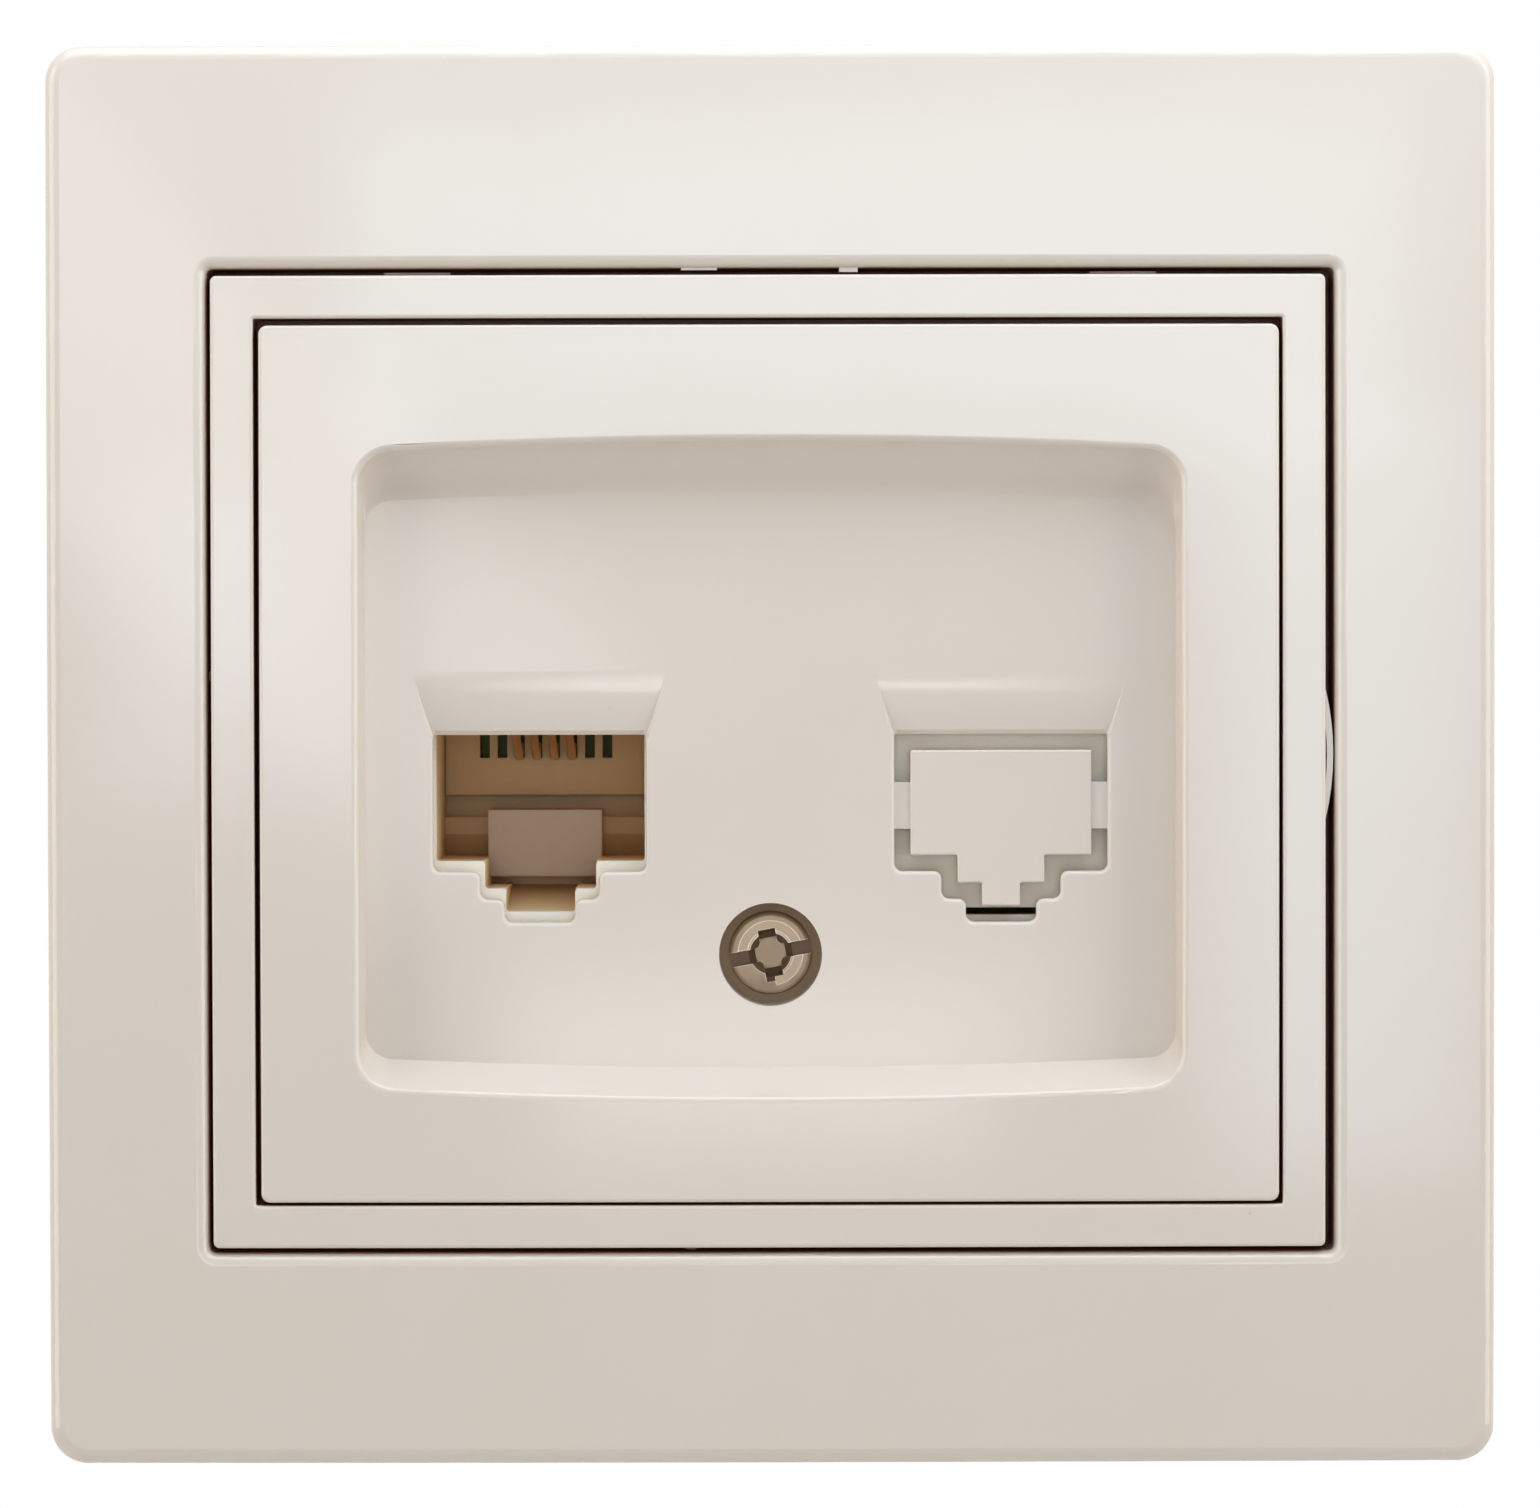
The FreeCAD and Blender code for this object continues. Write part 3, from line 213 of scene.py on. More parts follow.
class SocketMetals(bpy.types.PropertyGroup):
    """The steel, bronze and brass parts."""
    nickel_colour: colour_property("Nickel colour", "Nickel plating of the screws", "#a8957f")
    zinc_colour: colour_property("Zinc colour", "Blue zinc plating of the support ring", "#b9bdc2")
    bronze_colour: colour_property("Contact colour", "Gold flash on the contact wires", "#e6c19a")
    brass_colour: colour_property("Brass colour", "Brass of the terminal clamps", "#c9a85c")
    # Painted shade: the dark brown laid in the cover screw's cross.
    cross_shade_colour: colour_property("Oil colour", "Old oil and dirt in a screw's recess", "#5c4020")
    # Painted highlight: the pale colour laid along the metal parts' edges, and how wide it is.
    edge_highlight_colour: colour_property("Worn colour", "Plating rubbed bright along the edges", "#f4ecde")
    edge_highlight_width: length_property("Worn width", "How wide an edge is rubbed bright", 0.09)


class SocketStudio(bpy.types.PropertyGroup):
    """Camera, lamps and floor."""
    camera_distance: length_property("Camera distance", "From the lens to the face of the socket", 330.0)
    camera_height: angle_property("Camera height", "Angle above the level", 1.2)
    camera_roll: angle_property("Camera roll", "Turn of the camera round its axis", 0.12)
    view_width: length_property("View width", "Width seen at the face of the socket", 86.03)
    lamp_level: share_property("Lamp level", "Share of full power of every lamp", 1.02, highest=2)
    ambient: share_property("Room light", "Strength of the light from all sides", 0.2)
    cool_colour: colour_property("Cool lamp", "Colour of the daylight lamps above", "#d9edff")
    warm_colour: colour_property("Warm lamp", "Colour of the room's lamps at the sides", "#fff8f0")
    floor_drop: length_property("Floor drop", "From the socket's middle down to the floor", 100.0)
    floor_radius: length_property("Floor radius", "Radius of the round floor", 350.0)


def middle_and_reach(name):
    """The middle of a CAD node's box, and how far the box reaches from it to each side."""
    low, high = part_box(name)
    return [(a + b) / 2 for a, b in zip(low, high)], [(b - a) / 2 for a, b in zip(low, high)]


def add_node(tree, kind, inputs=None, **settings):
    """Adds a node, sets its own settings, and fills its inputs with values or with links from sockets."""
    node = tree.nodes.new(kind)
    for name, value in settings.items():
        setattr(node, name, value)
    for key, value in (inputs or {}).items():
        if isinstance(value, bpy.types.NodeSocket):
            tree.links.new(value, node.inputs[key])
        else:
            node.inputs[key].default_value = value
    return node


def new_material(name):
    """An empty material with its shader, and the place on the object for its patterns."""
    material = bpy.data.materials.new(name)
    material.use_nodes = True
    tree = material.node_tree
    tree.nodes.clear()
    shader = add_node(tree, "ShaderNodeBsdfPrincipled")
    add_node(tree, "ShaderNodeOutputMaterial", {"Surface": shader.outputs["BSDF"]})
    place = add_node(tree, "ShaderNodeTexCoord").outputs["Object"]
    return material, tree, shader, place


def dress(material, *names):
    """Gives CAD nodes their finish."""
    for name in names:
        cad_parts[name].material_slots[0].material = material


def uneven(tree, colour, pattern, darkest, lightest):
    """A colour that a pattern makes darker and lighter, between two shares of it."""
    tint = add_node(tree, "ShaderNodeMapRange", {"Value": pattern, "To Min": darkest, "To Max": lightest})
    return add_node(tree, "ShaderNodeVectorMath", {0: list(colour)[:3], "Scale": tint.outputs["Result"]},
                    operation="SCALE").outputs["Vector"]


def in_recesses(tree, reach, openness):
    """A share that is one deep in gaps and recesses narrower than the reach, and nought in the open."""
    open_sky = add_node(tree, "ShaderNodeAmbientOcclusion", {"Distance": reach}, samples=8)
    return add_node(tree, "ShaderNodeMapRange",
                    {"Value": open_sky.outputs["AO"], "From Min": openness[0], "From Max": openness[1],
                     "To Min": 1.0, "To Max": 0.0}, interpolation_type="SMOOTHSTEP").outputs["Result"]


def outside_plate(tree, place):
    """A share that is nought on the plate, which the painted gap shade leaves clear, and one from its rim
    outwards.
    """
    middle, reach = middle_and_reach("centre_plate")
    off = add_node(tree, "ShaderNodeVectorMath", {0: place, 1: middle}, operation="SUBTRACT")
    share = add_node(tree, "ShaderNodeVectorMath", {0: off.outputs["Vector"], 1: reach}, operation="DIVIDE")
    size = add_node(tree, "ShaderNodeVectorMath", {0: share.outputs["Vector"]}, operation="ABSOLUTE")
    sides = add_node(tree, "ShaderNodeSeparateXYZ", {"Vector": size.outputs["Vector"]})
    far = add_node(tree, "ShaderNodeMath", {0: sides.outputs["X"], 1: sides.outputs["Z"]},
                   operation="MAXIMUM")
    return add_node(tree, "ShaderNodeMapRange", {"Value": far.outputs["Value"], "From Min": PLATE_EDGE[0],
                                                 "From Max": PLATE_EDGE[1]}).outputs["Result"]


def from_screw_axis(tree, place):
    """How far a point lies from the axis of the cover screw."""
    middle = middle_and_reach("cover_screw")[0]
    off = add_node(tree, "ShaderNodeVectorMath", {0: place, 1: middle}, operation="SUBTRACT")
    flat = add_node(tree, "ShaderNodeVectorMath", {0: off.outputs["Vector"], 1: (1, 0, 1)},
                    operation="MULTIPLY")
    return add_node(tree, "ShaderNodeVectorMath", {0: flat.outputs["Vector"]},
                    operation="LENGTH").outputs["Value"]


def below_screw_top(tree, place, start, end):
    """A share that rises from nought to one between two depths below the top of the cover screw."""
    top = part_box("cover_screw")[0][1]
    sides = add_node(tree, "ShaderNodeSeparateXYZ", {"Vector": place})
    return add_node(tree, "ShaderNodeMapRange", {"Value": sides.outputs["Y"], "From Min": top + start,
                                                 "From Max": top + end}).outputs["Result"]


def in_screw_hole(tree, place):
    """A share that is highest on the floor of the screw's hole and nought outside the hole."""
    radius = from_screw_axis(tree, place)
    near = add_node(tree, "ShaderNodeMapRange",
                    {"Value": radius, "From Min": HOLE_SHADE_RIM[0], "From Max": HOLE_SHADE_RIM[1],
                     "To Min": HOLE_SHADE_COVER, "To Max": 0.0})
    return add_node(tree, "ShaderNodeMath", {0: near.outputs["Result"],
                                             1: below_screw_top(tree, place, 0.0, HOLE_SHADE_DEPTH)},
                    operation="MULTIPLY").outputs["Value"]


def specks(tree, place, covers):
    """A share that is highest in the middle of a few lone specks of dust."""
    cells = add_node(tree, "ShaderNodeTexVoronoi", {"Vector": place, "Scale": 1 / covers.dust_spacing})
    lone = add_node(tree, "ShaderNodeSeparateColor", {"Color": cells.outputs["Color"]})
    chosen = add_node(tree, "ShaderNodeMath", {0: lone.outputs["Red"], 1: DUST_FREE},
                      operation="GREATER_THAN")
    edge = covers.dust_radius / covers.dust_spacing
    dot = add_node(tree, "ShaderNodeMapRange", {"Value": cells.outputs["Distance"], "From Min": edge / 2,
                                                "From Max": edge, "To Min": DUST_COVER, "To Max": 0.0})
    return add_node(tree, "ShaderNodeMath", {0: dot.outputs["Result"], 1: chosen.outputs["Value"]},
                    operation="MULTIPLY").outputs["Value"]


def polished_abs(name, covers):
    """ABS from a polished mould: an even cream with a clear gloss, faint flow marks and a little dust.

    The shallow waves of the moulded skin soften the edges of what it mirrors. Painted shade makes the narrow
    gaps between the mouldings dark reddish brown, and a warm painted shade browns the floor of the screw's
    hole.
    """
    material, tree, shader, place = new_material(name)
    clouds = add_node(tree, "ShaderNodeTexNoise",
                      {"Vector": place, "Scale": 1 / covers.cloud_size, "Detail": 1.0, "Roughness": 0.4})
    colour = add_node(tree, "ShaderNodeMix", {0: clouds.outputs["Fac"], 6: covers.colour,
                                              7: covers.cloud_colour}, data_type="RGBA").outputs[2]
    # Painted shade: the narrow gaps outside the plate are darkened where they are closed in.
    gaps = in_recesses(tree, covers.gap_shade_reach, GAP_SHADE_OPENNESS)
    gap_shade = add_node(tree, "ShaderNodeMath", {0: gaps, 1: outside_plate(tree, place)},
                     operation="MULTIPLY").outputs["Value"]
    # Painted shade: a warm tint on the floor of the screw's hole.
    hole_shade = in_screw_hole(tree, place)
    # Real dust specks first, then the painted shade of the screw's hole and the painted shade of the gaps.
    for share, dirt in [(specks(tree, place, covers), covers.dust_colour), (hole_shade, covers.hole_shade_colour),
                        (gap_shade, covers.gap_shade_colour)]:
        colour = add_node(tree, "ShaderNodeMix", {0: share, 6: colour, 7: dirt}, data_type="RGBA").outputs[2]
    painted_shade = add_node(tree, "ShaderNodeMath", {0: gap_shade, 1: hole_shade}, operation="MAXIMUM")
    dull = add_node(tree, "ShaderNodeMapRange", {"Value": painted_shade.outputs["Value"], "To Min": covers.roughness,
                                                 "To Max": PAINTED_SHADE_ROUGHNESS})
    waves = add_node(tree, "ShaderNodeTexNoise", {"Vector": place, "Scale": 1 / covers.wave_size,
                                                  "Detail": 0.0})
    bump = add_node(tree, "ShaderNodeBump", {"Strength": 0.25, "Distance": 0.002 * MM,
                                             "Height": waves.outputs["Fac"]})
    tree.links.new(colour, shader.inputs["Base Color"])
    tree.links.new(dull.outputs["Result"], shader.inputs["Roughness"])
    tree.links.new(bump.outputs["Normal"], shader.inputs["Normal"])
    shader.inputs["IOR"].default_value = ABS_IOR
    return material


def scuff_latch_block(material, body):
    """Gives the flat face of the jack's latch block the greyer tan of plastic that plugs have scuffed."""
    tree = material.node_tree
    shader = [node for node in tree.nodes if node.type == "BSDF_PRINCIPLED"][0]
    place = add_node(tree, "ShaderNodeTexCoord").outputs["Object"]
    sides = add_node(tree, "ShaderNodeSeparateXYZ", {"Vector": place})
    share = 1.0
    for axis, middle, reach in zip("XYZ", LATCH_BLOCK_MIDDLE, LATCH_BLOCK_REACH):
        near = add_node(tree, "ShaderNodeMath", {0: sides.outputs[axis], 1: middle, 2: reach},
                        operation="COMPARE")
        share = add_node(tree, "ShaderNodeMath", {0: near.outputs["Value"], 1: share},
                         operation="MULTIPLY").outputs["Value"]
    plain = shader.inputs["Base Color"].links[0].from_socket
    colour = add_node(tree, "ShaderNodeMix", {0: share, 6: plain, 7: body.pad_colour}, data_type="RGBA")
    tree.links.new(colour.outputs[2], shader.inputs["Base Color"])


def moulded_plastic(name, colour, body, roughness, ior, glow=0.0):
    """Plastic from a spark-eroded mould: matt, with a fine even grain that dulls its shine.

    The real grain is a few hundredths of a millimetre, too fine to show, so it is drawn coarser. The glow is
    the share of light that passes through the unfilled plastic and softens its shadows.
    """
    material, tree, shader, place = new_material(name)
    grain = add_node(tree, "ShaderNodeTexNoise", {"Vector": place, "Scale": 1 / body.spark_size,
                                                  "Detail": 3.0, "Roughness": 0.6}).outputs["Fac"]
    rough = add_node(tree, "ShaderNodeMapRange", {"Value": grain, "To Min": roughness - GRAIN_DRIFT,
                                                  "To Max": roughness + GRAIN_DRIFT})
    bump = add_node(tree, "ShaderNodeBump", {"Strength": 0.5, "Distance": 0.01 * MM, "Height": grain})
    tree.links.new(uneven(tree, colour, grain, darkest=0.94, lightest=1.05), shader.inputs["Base Color"])
    tree.links.new(rough.outputs["Result"], shader.inputs["Roughness"])
    tree.links.new(bump.outputs["Normal"], shader.inputs["Normal"])
    shader.inputs["IOR"].default_value = ior
    # The grain of the mould shades most of the shine.
    shader.inputs["Specular IOR Level"].default_value = 0.2
    # Red light reaches furthest in these plastics, and blue least.
    shader.inputs["Subsurface Weight"].default_value = glow
    shader.inputs["Subsurface Radius"].default_value = (1.0, 0.7, 0.45)
    shader.inputs["Subsurface Scale"].default_value = body.glow_reach
    return material


def solder_mask(name, colour):
    """Epoxy solder mask, curtain coated: a smooth even green film that thins and lightens a little in waves.

    The weave of the glass cloth below it shows as a faint check.
    """
    material, tree, shader, place = new_material(name)
    film = add_node(tree, "ShaderNodeTexNoise", {"Vector": place, "Scale": 1 / MASK_WAVE, "Detail": 2.0})
    cloth = add_node(tree, "ShaderNodeTexChecker", {"Vector": place, "Scale": 1 / CLOTH_CHECK})
    bump = add_node(tree, "ShaderNodeBump", {"Strength": 0.2, "Distance": 0.002 * MM,
                                             "Height": cloth.outputs["Fac"]})
    shade = uneven(tree, colour, film.outputs["Fac"], darkest=0.85, lightest=1.15)
    tree.links.new(shade, shader.inputs["Base Color"])
    tree.links.new(bump.outputs["Normal"], shader.inputs["Normal"])
    shader.inputs["Roughness"].default_value = 0.5
    shader.inputs["IOR"].default_value = EPOXY_IOR
    return material


def tin_solder(name, colour):
    """Tin solder that set in smooth cones, with a slightly clouded shine."""
    material, tree, shader, place = new_material(name)
    cloud = add_node(tree, "ShaderNodeTexNoise", {"Vector": place, "Scale": 1 / SOLDER_CLOUD})
    dull = add_node(tree, "ShaderNodeMapRange", {"Value": cloud.outputs["Fac"], "To Min": 0.15,
                                                 "To Max": 0.35})
    tree.links.new(dull.outputs["Result"], shader.inputs["Roughness"])
    shader.inputs["Base Color"].default_value = colour
    shader.inputs["Metallic"].default_value = 1.0
    return material


def edge_highlights(tree, width):
    """A share that is one along sharp edges, where a highlight is painted, and nought on flat places."""
    soft = add_node(tree, "ShaderNodeBevel", {"Radius": width}, samples=6)
    sharp = add_node(tree, "ShaderNodeNewGeometry")
    along = add_node(tree, "ShaderNodeVectorMath", {0: soft.outputs["Normal"], 1: sharp.outputs["Normal"]},
                     operation="DOT_PRODUCT")
    return add_node(tree, "ShaderNodeMapRange",
                    {"Value": along.outputs["Value"], "From Min": EDGE_HIGHLIGHT_TURN[0], "From Max": EDGE_HIGHLIGHT_TURN[1],
                     "To Min": 1.0, "To Max": 0.0}).outputs["Result"]


def plated_metal(name, colour, metals, roughness, cloud_size, recess=None):
    """Plated or turned metal: a satin shine that drifts a little from place to place, painted bright at
    edges.

    A recess, where one is given, makes the share of painted shade that hides the metal.
    """
    material, tree, shader, place = new_material(name)
    drift = add_node(tree, "ShaderNodeTexNoise", {"Vector": place, "Scale": 1 / cloud_size, "Detail": 4.0,
                                                  "Roughness": 0.6}).outputs["Fac"]
    plating = uneven(tree, colour, drift, darkest=0.7, lightest=1.25)
    # Painted highlight along the edges.
    finish = add_node(tree, "ShaderNodeMix", {0: edge_highlights(tree, metals.edge_highlight_width), 6: plating,
                                              7: metals.edge_highlight_colour}, data_type="RGBA").outputs[2]
    # Painted shade in a recess darkens the metal and makes it less metallic.
    if recess:
        cross_shade = recess(tree, place)
        finish = add_node(tree, "ShaderNodeMix", {0: cross_shade, 6: finish, 7: metals.cross_shade_colour},
                          data_type="RGBA").outputs[2]
        bare = add_node(tree, "ShaderNodeMapRange", {"Value": cross_shade, "To Min": 1.0, "To Max": CROSS_SHADE_METALLIC})
        tree.links.new(bare.outputs["Result"], shader.inputs["Metallic"])
    else:
        shader.inputs["Metallic"].default_value = 1.0
    rough = add_node(tree, "ShaderNodeMapRange", {"Value": drift, "To Min": roughness + METAL_DRIFT[0],
                                                  "To Max": roughness + METAL_DRIFT[1]})
    bump = add_node(tree, "ShaderNodeBump", {"Strength": 0.4, "Distance": 0.004 * MM, "Height": drift})
    tree.links.new(finish, shader.inputs["Base Color"])
    tree.links.new(rough.outputs["Result"], shader.inputs["Roughness"])
    tree.links.new(bump.outputs["Normal"], shader.inputs["Normal"])
    return material


def shade_in_cross(tree, place):
    """Painted shade in the cover screw's cross: darkest in the arms, brown round the middle, thin on its
    floor.
    """
    radius = from_screw_axis(tree, place)
    middle = add_node(tree, "ShaderNodeMapRange",
                      {"Value": radius, "From Min": CROSS_SHADE_RING[0], "From Max": CROSS_SHADE_RING[1],
                       "To Min": CROSS_SHADE_STAR_COVER, "To Max": CROSS_SHADE_RING_COVER})
    arms = add_node(tree, "ShaderNodeMapRange",
                    {"Value": radius, "From Min": CROSS_SHADE_ARMS[0], "From Max": CROSS_SHADE_ARMS[1],
                     "To Min": 0.0, "To Max": CROSS_SHADE_ARMS_COVER})
    share = add_node(tree, "ShaderNodeMath", {0: middle.outputs["Result"], 1: arms.outputs["Result"]})
    return add_node(tree, "ShaderNodeMath", {0: share.outputs["Value"],
                                             1: below_screw_top(tree, place, *CROSS_SHADE_DEPTH)},
                    operation="MULTIPLY").outputs["Value"]


def finish_piece(name, shape, material):
    """Makes an object of a finished shape, on the socket's only body."""
    bmesh.ops.remove_doubles(shape, verts=shape.verts, dist=0.001 * MM)
    bmesh.ops.recalc_face_normals(shape, faces=shape.faces)
    mesh = bpy.data.meshes.new(name)
    shape.to_mesh(mesh)
    shape.free()
    mesh.materials.append(material)
    piece = bpy.data.objects.new(name, mesh)
    bpy.context.scene.collection.objects.link(piece)
    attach(piece, "root")


def contact_tails():
    """The middle of each contact wire's end behind the circuit board, from left to right."""
    tails = []
    for name in sorted(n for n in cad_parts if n.startswith("contact_spring")):
        places = [v.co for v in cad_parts[name].data.vertices]
        end = max(p.y for p in places)
        last = [p for p in places if p.y > end - TAIL_END]
        middle = sum(last, Vector()) / len(last)
        tails.append(Vector((middle.x, end, middle.z)))
    return sorted(tails, key=lambda p: p.x)


def solder_joint(shape, tail, board_y, board):
    """Spins the hollow flank of a solder joint once round the tail of a contact."""
    points = [shape.verts.new((tail.x + r * board.solder_radius, board_y + h * board.solder_height, tail.z))
              for r, h in SOLDER_FLANK]
    edges = [shape.edges.new(pair) for pair in zip(points, points[1:])]
    bmesh.ops.spin(shape, geom=points + edges, cent=(tail.x, board_y, tail.z), axis=(0, 1, 0),
                   dvec=(0, 0, 0), angle=2 * math.pi, steps=SOLDER_STEPS, use_merge=True)


def lay_track(shape, path, width):
    """Extrudes an edge along the corners of a copper track, with mitred bends."""
    ways = [(b - a).normalized() for a, b in zip(path, path[1:])]
    sides = []
    for before, after in zip(ways[:1] + ways, ways + ways[-1:]):
        first, second = (Vector((way.z, 0, -way.x)) for way in (before, after))
        sides.append((first + second) / (1 + first.dot(second)) * width / 2)
    ends = [shape.verts.new(path[0] - sides[0]), shape.verts.new(path[0] + sides[0])]
    edge = shape.edges.new(ends)
    for place, side in zip(path[1:], sides[1:]):
        grown = bmesh.ops.extrude_edge_only(shape, edges=[edge])["geom"]
        fresh = [part for part in grown if isinstance(part, bmesh.types.BMVert)]
        fresh.sort(key=lambda v: (v.co - ends[0].co).length)
        bmesh.ops.translate(shape, verts=fresh[:1], vec=place - side - fresh[0].co)
        bmesh.ops.translate(shape, verts=fresh[1:], vec=place + side - fresh[1].co)
        ends = fresh
        edge = shape.edges.get(ends)


class SOCKET_OT_covers(bpy.types.Operator):
    """Finishes the cover frame, the trim ring and the centre plate"""
    bl_idname = "socket.covers"
    bl_label = "Covers"

    def execute(self, context):
        material = polished_abs("polished_abs_cream", context.scene.socket_covers)
        dress(material, "outer_frame", "trim_ring", "centre_plate")
        return {"FINISHED"}


class SOCKET_OT_body(bpy.types.Operator):
    """Finishes the carrier, the jack and its comb, and the terminal block"""
    bl_idname = "socket.body"
    bl_label = "Carrier and jack"

    def execute(self, context):
        body = context.scene.socket_body
        # The carrier's cream is partly painted light, from light passing through the plate.
        carrier = moulded_plastic("moulded_polyamide_cream", body.carrier_colour, body, roughness=0.4,
                                  ior=POLYAMIDE_IOR, glow=0.6)
        dress(carrier, "carrier")
        # Painted shade: the jack and its comb are a browner tan copy of the cream plastic.
        jack = moulded_plastic("moulded_polyester_shaded_tan", body.jack_shaded_colour, body, roughness=0.42,
                               ior=POLYESTER_IOR, glow=0.7)
        scuff_latch_block(jack, body)
        dress(jack, "jack_housing")
        comb = moulded_plastic("moulded_polyester_comb", body.comb_shaded_colour, body, roughness=0.42,
                               ior=POLYESTER_IOR, glow=0.7)
        dress(comb, "contact_insert")
        # The pigment of the grey polyamide stops the light, so it has no glow.
        terminal = moulded_plastic("moulded_polyamide_grey", body.terminal_colour, body, roughness=0.5,
                                   ior=POLYAMIDE_IOR)
        dress(terminal, "terminal_block")
        return {"FINISHED"}


class SOCKET_OT_board(bpy.types.Operator):
    """Finishes the circuit board and adds its tracks and the solder joints of the contacts"""
    bl_idname = "socket.board"
    bl_label = "Circuit board"

    def execute(self, context):
        board = context.scene.socket_board
        dress(solder_mask("solder_mask_green", board.mask_colour), "circuit_board")
        board_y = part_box("circuit_board")[1][1]
        tails = contact_tails()
        joints = bmesh.new()
        for tail in tails:
            solder_joint(joints, tail, board_y, board)
        finish_piece("solder_joints", joints, tin_solder("tin_solder", board.solder_colour))
        self.tracks(board, tails, board_y)
        return {"FINISHED"}

    def tracks(self, board, tails, board_y):
        """Four tracks, side by side, from the contacts over to the four poles of the terminal block."""
        block_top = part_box("terminal_block")[1][2]
        poles = sorted(middle_and_reach("terminal_clamp_%d" % i)[0][0] for i in range(1, 5))
        shape = bmesh.new()
        for i, (tail, pole) in enumerate(zip(reversed(tails), poles)):
            start = Vector((tail.x, board_y, tail.z))
            over = Vector((tail.x, board_y, tail.z + board.track_step * i))
            down = Vector((pole, board_y, over.z))
            cut = min(TRACK_CORNER, (down.x - over.x) / 4)
            across, along = Vector((cut, 0, 0)), Vector((0, 0, cut))
            # The first track starts level with its contact, so it has no bend there.
            bend = [over - along, over + across] if i else []
            end = Vector((pole, board_y, block_top - TRACK_END))
            lay_track(shape, [start] + bend + [down - across, down - along, end], board.track_width)
        bmesh.ops.solidify(shape, geom=shape.faces[:], thickness=board.track_height)
        lowest = min(v.co.y for v in shape.verts)
        bmesh.ops.translate(shape, verts=shape.verts, vec=(0, board_y - TRACK_SINK - lowest, 0))
        finish_piece("board_tracks", shape, solder_mask("solder_mask_over_copper", board.track_colour))


class SOCKET_OT_metals(bpy.types.Operator):
    """Finishes the screws, the nut, the rivets, the support ring, the contact wires and the clamps"""
    bl_idname = "socket.metals"
    bl_label = "Metal parts"

    def execute(self, context):
        metals = context.scene.socket_metals
        names = sorted(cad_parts)
        # Painted shade in the cover screw's cross.
        shaded_cross = plated_metal("nickel_plated_steel_shaded_cross", metals.nickel_colour, metals, roughness=0.34,
                             cloud_size=0.9 * MM, recess=shade_in_cross)
        dress(shaded_cross, "cover_screw")
        nickel = plated_metal("nickel_plated_steel", metals.nickel_colour, metals, roughness=0.34,
                              cloud_size=1.2 * MM)
        dress(nickel, *[n for n in names if n.startswith(("board_screw", "terminal_screw"))])
        zinc = plated_metal("zinc_plated_steel", metals.zinc_colour, metals, roughness=0.38,
                            cloud_size=4.0 * MM)
        dress(zinc, "support_ring", "cover_nut", "strap_rivet_left", "strap_rivet_right")
        bronze = plated_metal("gold_flashed_bronze", metals.bronze_colour, metals, roughness=0.3,
                              cloud_size=0.5 * MM)
        dress(bronze, *[n for n in names if n.startswith("contact_spring")])
        brass = plated_metal("turned_brass", metals.brass_colour, metals, roughness=0.32,
                             cloud_size=1.0 * MM)
        dress(brass, *[n for n in names if n.startswith("terminal_clamp")])
        return {"FINISHED"}


def face_middle():
    """The middle of the socket's face, which the camera and every lamp look at."""
    return Vector((0.0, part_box("outer_frame")[0][1], 0.0))


def aimed(direction, roll):
    """The turn of a camera or lamp that looks along a direction, rolled round it."""
    return (direction.to_track_quat("-Z", "Y").to_matrix() @ Matrix.Rotation(roll, 3, "Z")).to_euler()


def soft_box(name, place, width, height, radiance, colour, roll):
    """A rectangular lamp that faces the middle of the socket's face, as bright to look at as its radiance."""
    lamp = bpy.data.lights.new(name, "AREA")
    lamp.shape = "RECTANGLE"
    lamp.size = width
    lamp.size_y = height
    lamp.energy = radiance * width * height * math.pi
    lamp.color = list(colour)[:3]
    holder = bpy.data.objects.new(name, lamp)
    holder.location = place
    holder.rotation_euler = aimed(face_middle() - Vector(place), roll)
    bpy.context.scene.collection.objects.link(holder)


def seen_rays(tree):
    """A share that is one for what the camera sees, also in reflections and through clear parts."""
    rays = add_node(tree, "ShaderNodeLightPath")
    seen = rays.outputs["Is Camera Ray"]
    for kind in ("Is Glossy Ray", "Is Transmission Ray"):
        seen = add_node(tree, "ShaderNodeMath", {0: seen, 1: rays.outputs[kind]},
                        operation="MAXIMUM").outputs["Value"]
    return seen


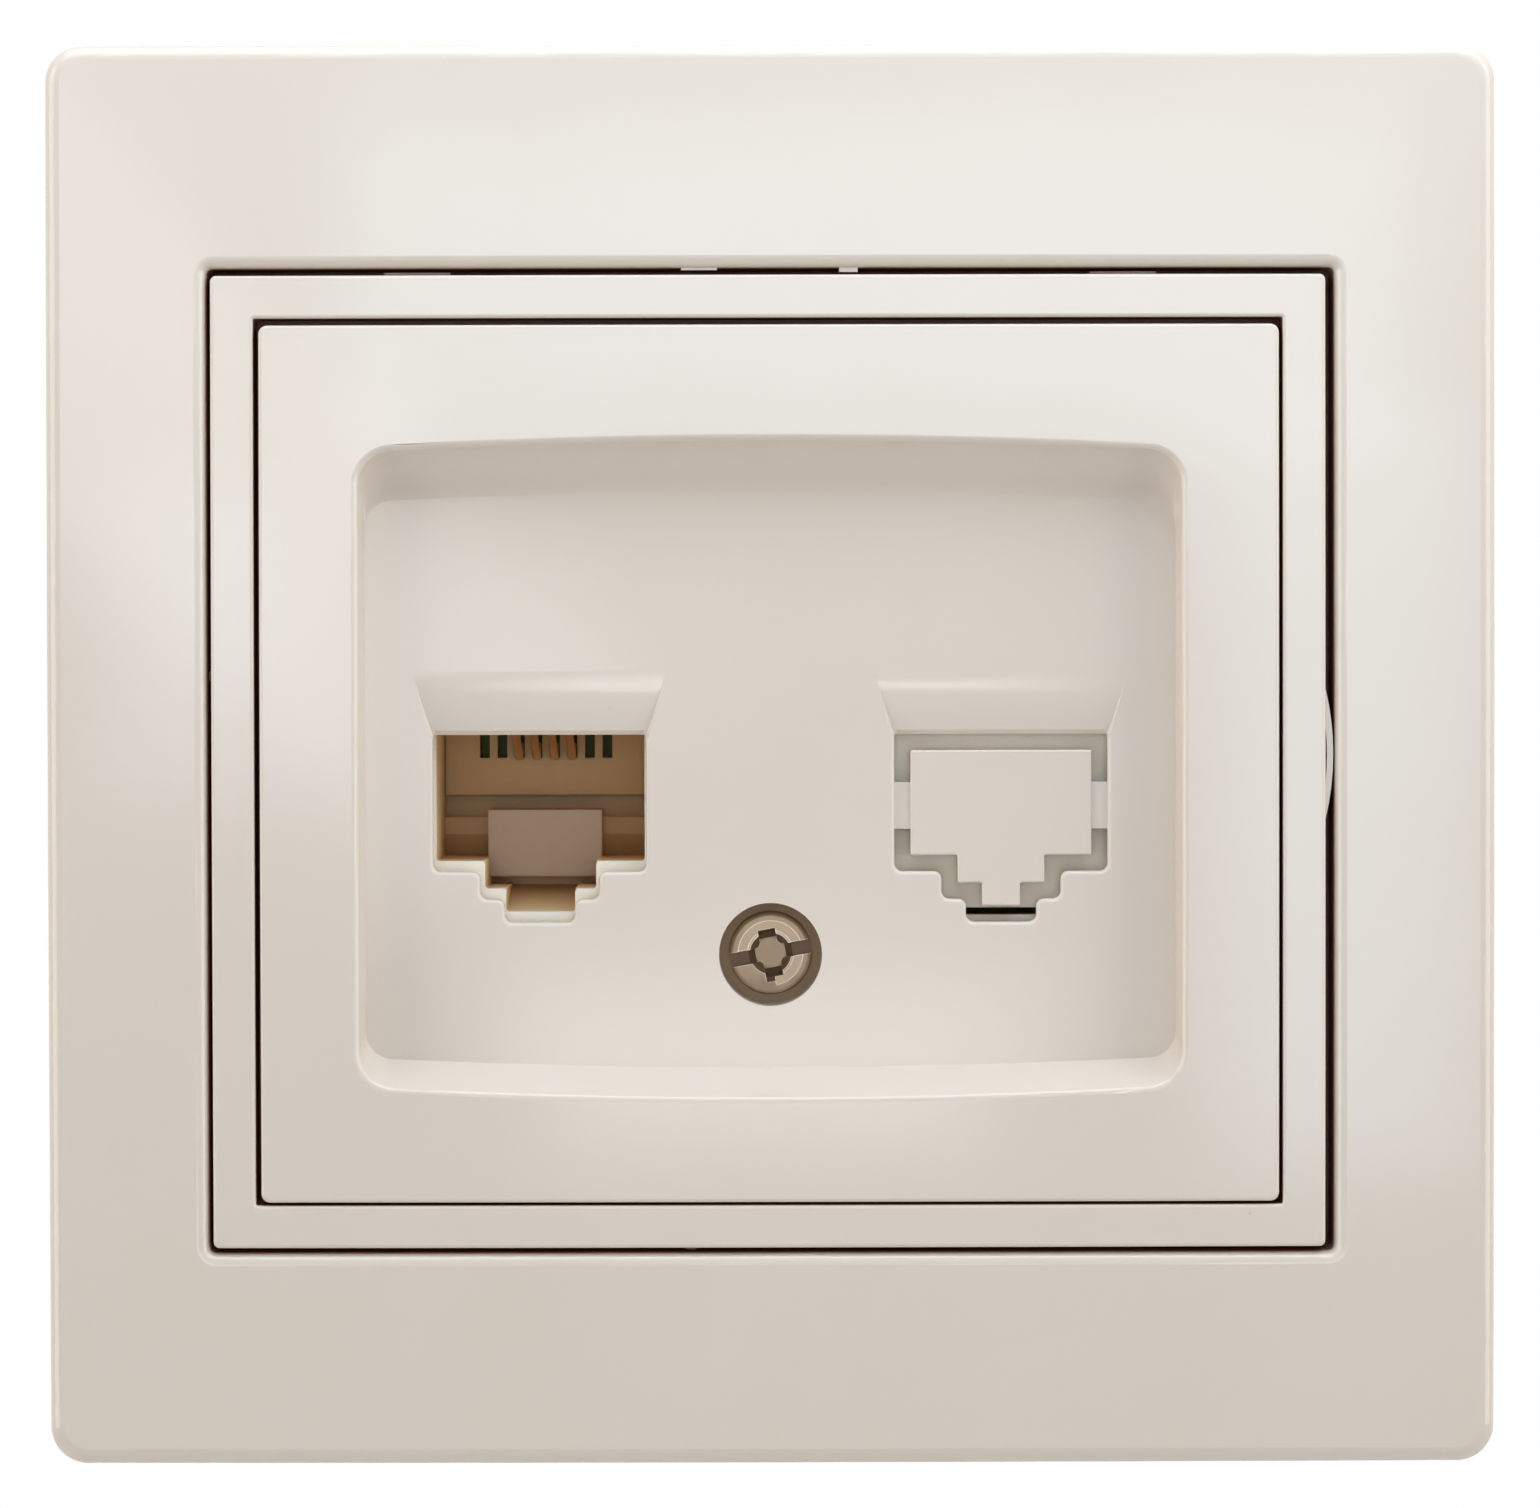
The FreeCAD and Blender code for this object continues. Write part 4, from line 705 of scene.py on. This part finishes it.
class SOCKET_OT_studio(bpy.types.Operator):
    """Sets the camera, the soft boxes, the white surroundings and the floor"""
    bl_idname = "socket.studio"
    bl_label = "Studio"

    def execute(self, context):
        studio = context.scene.socket_studio
        context.scene.view_settings.view_transform = "Standard"
        self.camera(context.scene, studio)
        colours = {"cool": studio.cool_colour, "warm": studio.warm_colour, "white": linear(WHITE)}
        for name, place, width, height, radiance, colour, roll in LAMPS:
            soft_box(name, place, width, height, radiance * studio.lamp_level, colours[colour],
                     math.radians(roll))
        self.surroundings(context.scene, studio)
        self.floor(studio)
        return {"FINISHED"}

    def camera(self, scene, studio):
        """A camera almost square to the face, as far off and as wide as the photograph's."""
        lens = bpy.data.cameras.new("photo_camera")
        lens.sensor_width = SENSOR_WIDTH
        lens.lens = SENSOR_WIDTH * studio.camera_distance / studio.view_width
        lens.clip_start = CAMERA_NEAR
        lens.shift_x, lens.shift_y = (pixels / PHOTO_WIDTH for pixels in PHOTO_SHIFT)
        camera = bpy.data.objects.new("photo_camera", lens)
        back = Vector((0.0, -math.cos(studio.camera_height), math.sin(studio.camera_height)))
        camera.location = face_middle() + back * studio.camera_distance
        camera.rotation_euler = aimed(-back, -studio.camera_roll)
        scene.collection.objects.link(camera)
        scene.camera = camera

    def surroundings(self, scene, studio):
        """White to the camera and in reflections, and a dimmer even light on the socket."""
        world = bpy.data.worlds.new("studio_white")
        scene.world = world
        world.use_nodes = True
        tree = world.node_tree
        tree.nodes.clear()
        light = add_node(tree, "ShaderNodeBackground", {"Color": linear(WHITE), "Strength": studio.ambient})
        white = add_node(tree, "ShaderNodeBackground", {"Color": linear(WHITE), "Strength": 1.0})
        mix = add_node(tree, "ShaderNodeMixShader", {0: seen_rays(tree), 1: light.outputs["Background"],
                                                     2: white.outputs["Background"]})
        add_node(tree, "ShaderNodeOutputWorld", {"Surface": mix.outputs["Shader"]})

    def floor(self, studio):
        """A round pale floor that keeps the socket's shadow and fades to white towards its rim."""
        mesh = bpy.data.meshes.new("floor")
        shape = bmesh.new()
        bmesh.ops.create_circle(shape, cap_ends=True, segments=FLOOR_SEGMENTS, radius=studio.floor_radius)
        bmesh.ops.translate(shape, verts=shape.verts, vec=(0, 0, -studio.floor_drop))
        shape.to_mesh(mesh)
        shape.free()
        floor = bpy.data.objects.new("floor", mesh)
        bpy.context.scene.collection.objects.link(floor)
        mesh.materials.append(self.paper(studio))

    def paper(self, studio):
        """Matt white paper, which fades to the white of the surroundings towards the floor's rim."""
        material, tree, shader, place = new_material("white_paper")
        shader.inputs["Base Color"].default_value = linear(PAPER)
        shader.inputs["Roughness"].default_value = 0.9
        flat = add_node(tree, "ShaderNodeVectorMath", {0: place, 1: (1, 1, 0)}, operation="MULTIPLY")
        reach = add_node(tree, "ShaderNodeVectorMath", {0: flat.outputs["Vector"]}, operation="LENGTH")
        start, end = (share * studio.floor_radius for share in FLOOR_FADE)
        fade = add_node(tree, "ShaderNodeMapRange", {"Value": reach.outputs["Value"], "From Min": start,
                                                     "From Max": end})
        share = add_node(tree, "ShaderNodeMath", {0: seen_rays(tree), 1: fade.outputs["Result"]},
                         operation="MULTIPLY")
        white = add_node(tree, "ShaderNodeEmission", {"Color": linear(WHITE), "Strength": 1.0})
        mix = add_node(tree, "ShaderNodeMixShader", {0: share.outputs["Value"], 1: shader.outputs["BSDF"],
                                                     2: white.outputs["Emission"]})
        output = [n for n in tree.nodes if n.type == "OUTPUT_MATERIAL"][0]
        tree.links.new(mix.outputs["Shader"], output.inputs["Surface"])
        return material


class SOCKET_PT_panel(bpy.types.Panel):
    """Lists the sizes, the colours and the steps of the socket"""
    bl_idname = "SOCKET_PT_panel"
    bl_label = "Ethernet wall socket"
    bl_space_type = "VIEW_3D"
    bl_region_type = "UI"
    bl_category = "Socket"

    def draw(self, context):
        for group, operator in STEPS:
            holder = getattr(context.scene, group)
            column = self.layout.box().column()
            for name in holder.__annotations__:
                column.prop(holder, name)
            column.operator(operator)


GROUPS = {
    "socket_covers": SocketCovers,
    "socket_body": SocketBody,
    "socket_board": SocketBoard,
    "socket_metals": SocketMetals,
    "socket_studio": SocketStudio,
}
OPERATORS = [SOCKET_OT_covers, SOCKET_OT_body, SOCKET_OT_board, SOCKET_OT_metals, SOCKET_OT_studio]
STEPS = [(group, kind.bl_idname) for group, kind in zip(GROUPS, OPERATORS)]


def register():
    for kind in list(GROUPS.values()) + OPERATORS + [SOCKET_PT_panel]:
        bpy.utils.register_class(kind)
    for name, kind in GROUPS.items():
        setattr(bpy.types.Scene, name, bpy.props.PointerProperty(type=kind))


def unregister():
    for name in GROUPS:
        delattr(bpy.types.Scene, name)
    for kind in [SOCKET_PT_panel] + OPERATORS[::-1] + list(GROUPS.values())[::-1]:
        bpy.utils.unregister_class(kind)


def main():
    """Runs every step in order."""
    register()
    bpy.ops.socket.covers()
    bpy.ops.socket.body()
    bpy.ops.socket.board()
    bpy.ops.socket.metals()
    bpy.ops.socket.studio()


if __name__ == "__main__":
    main()
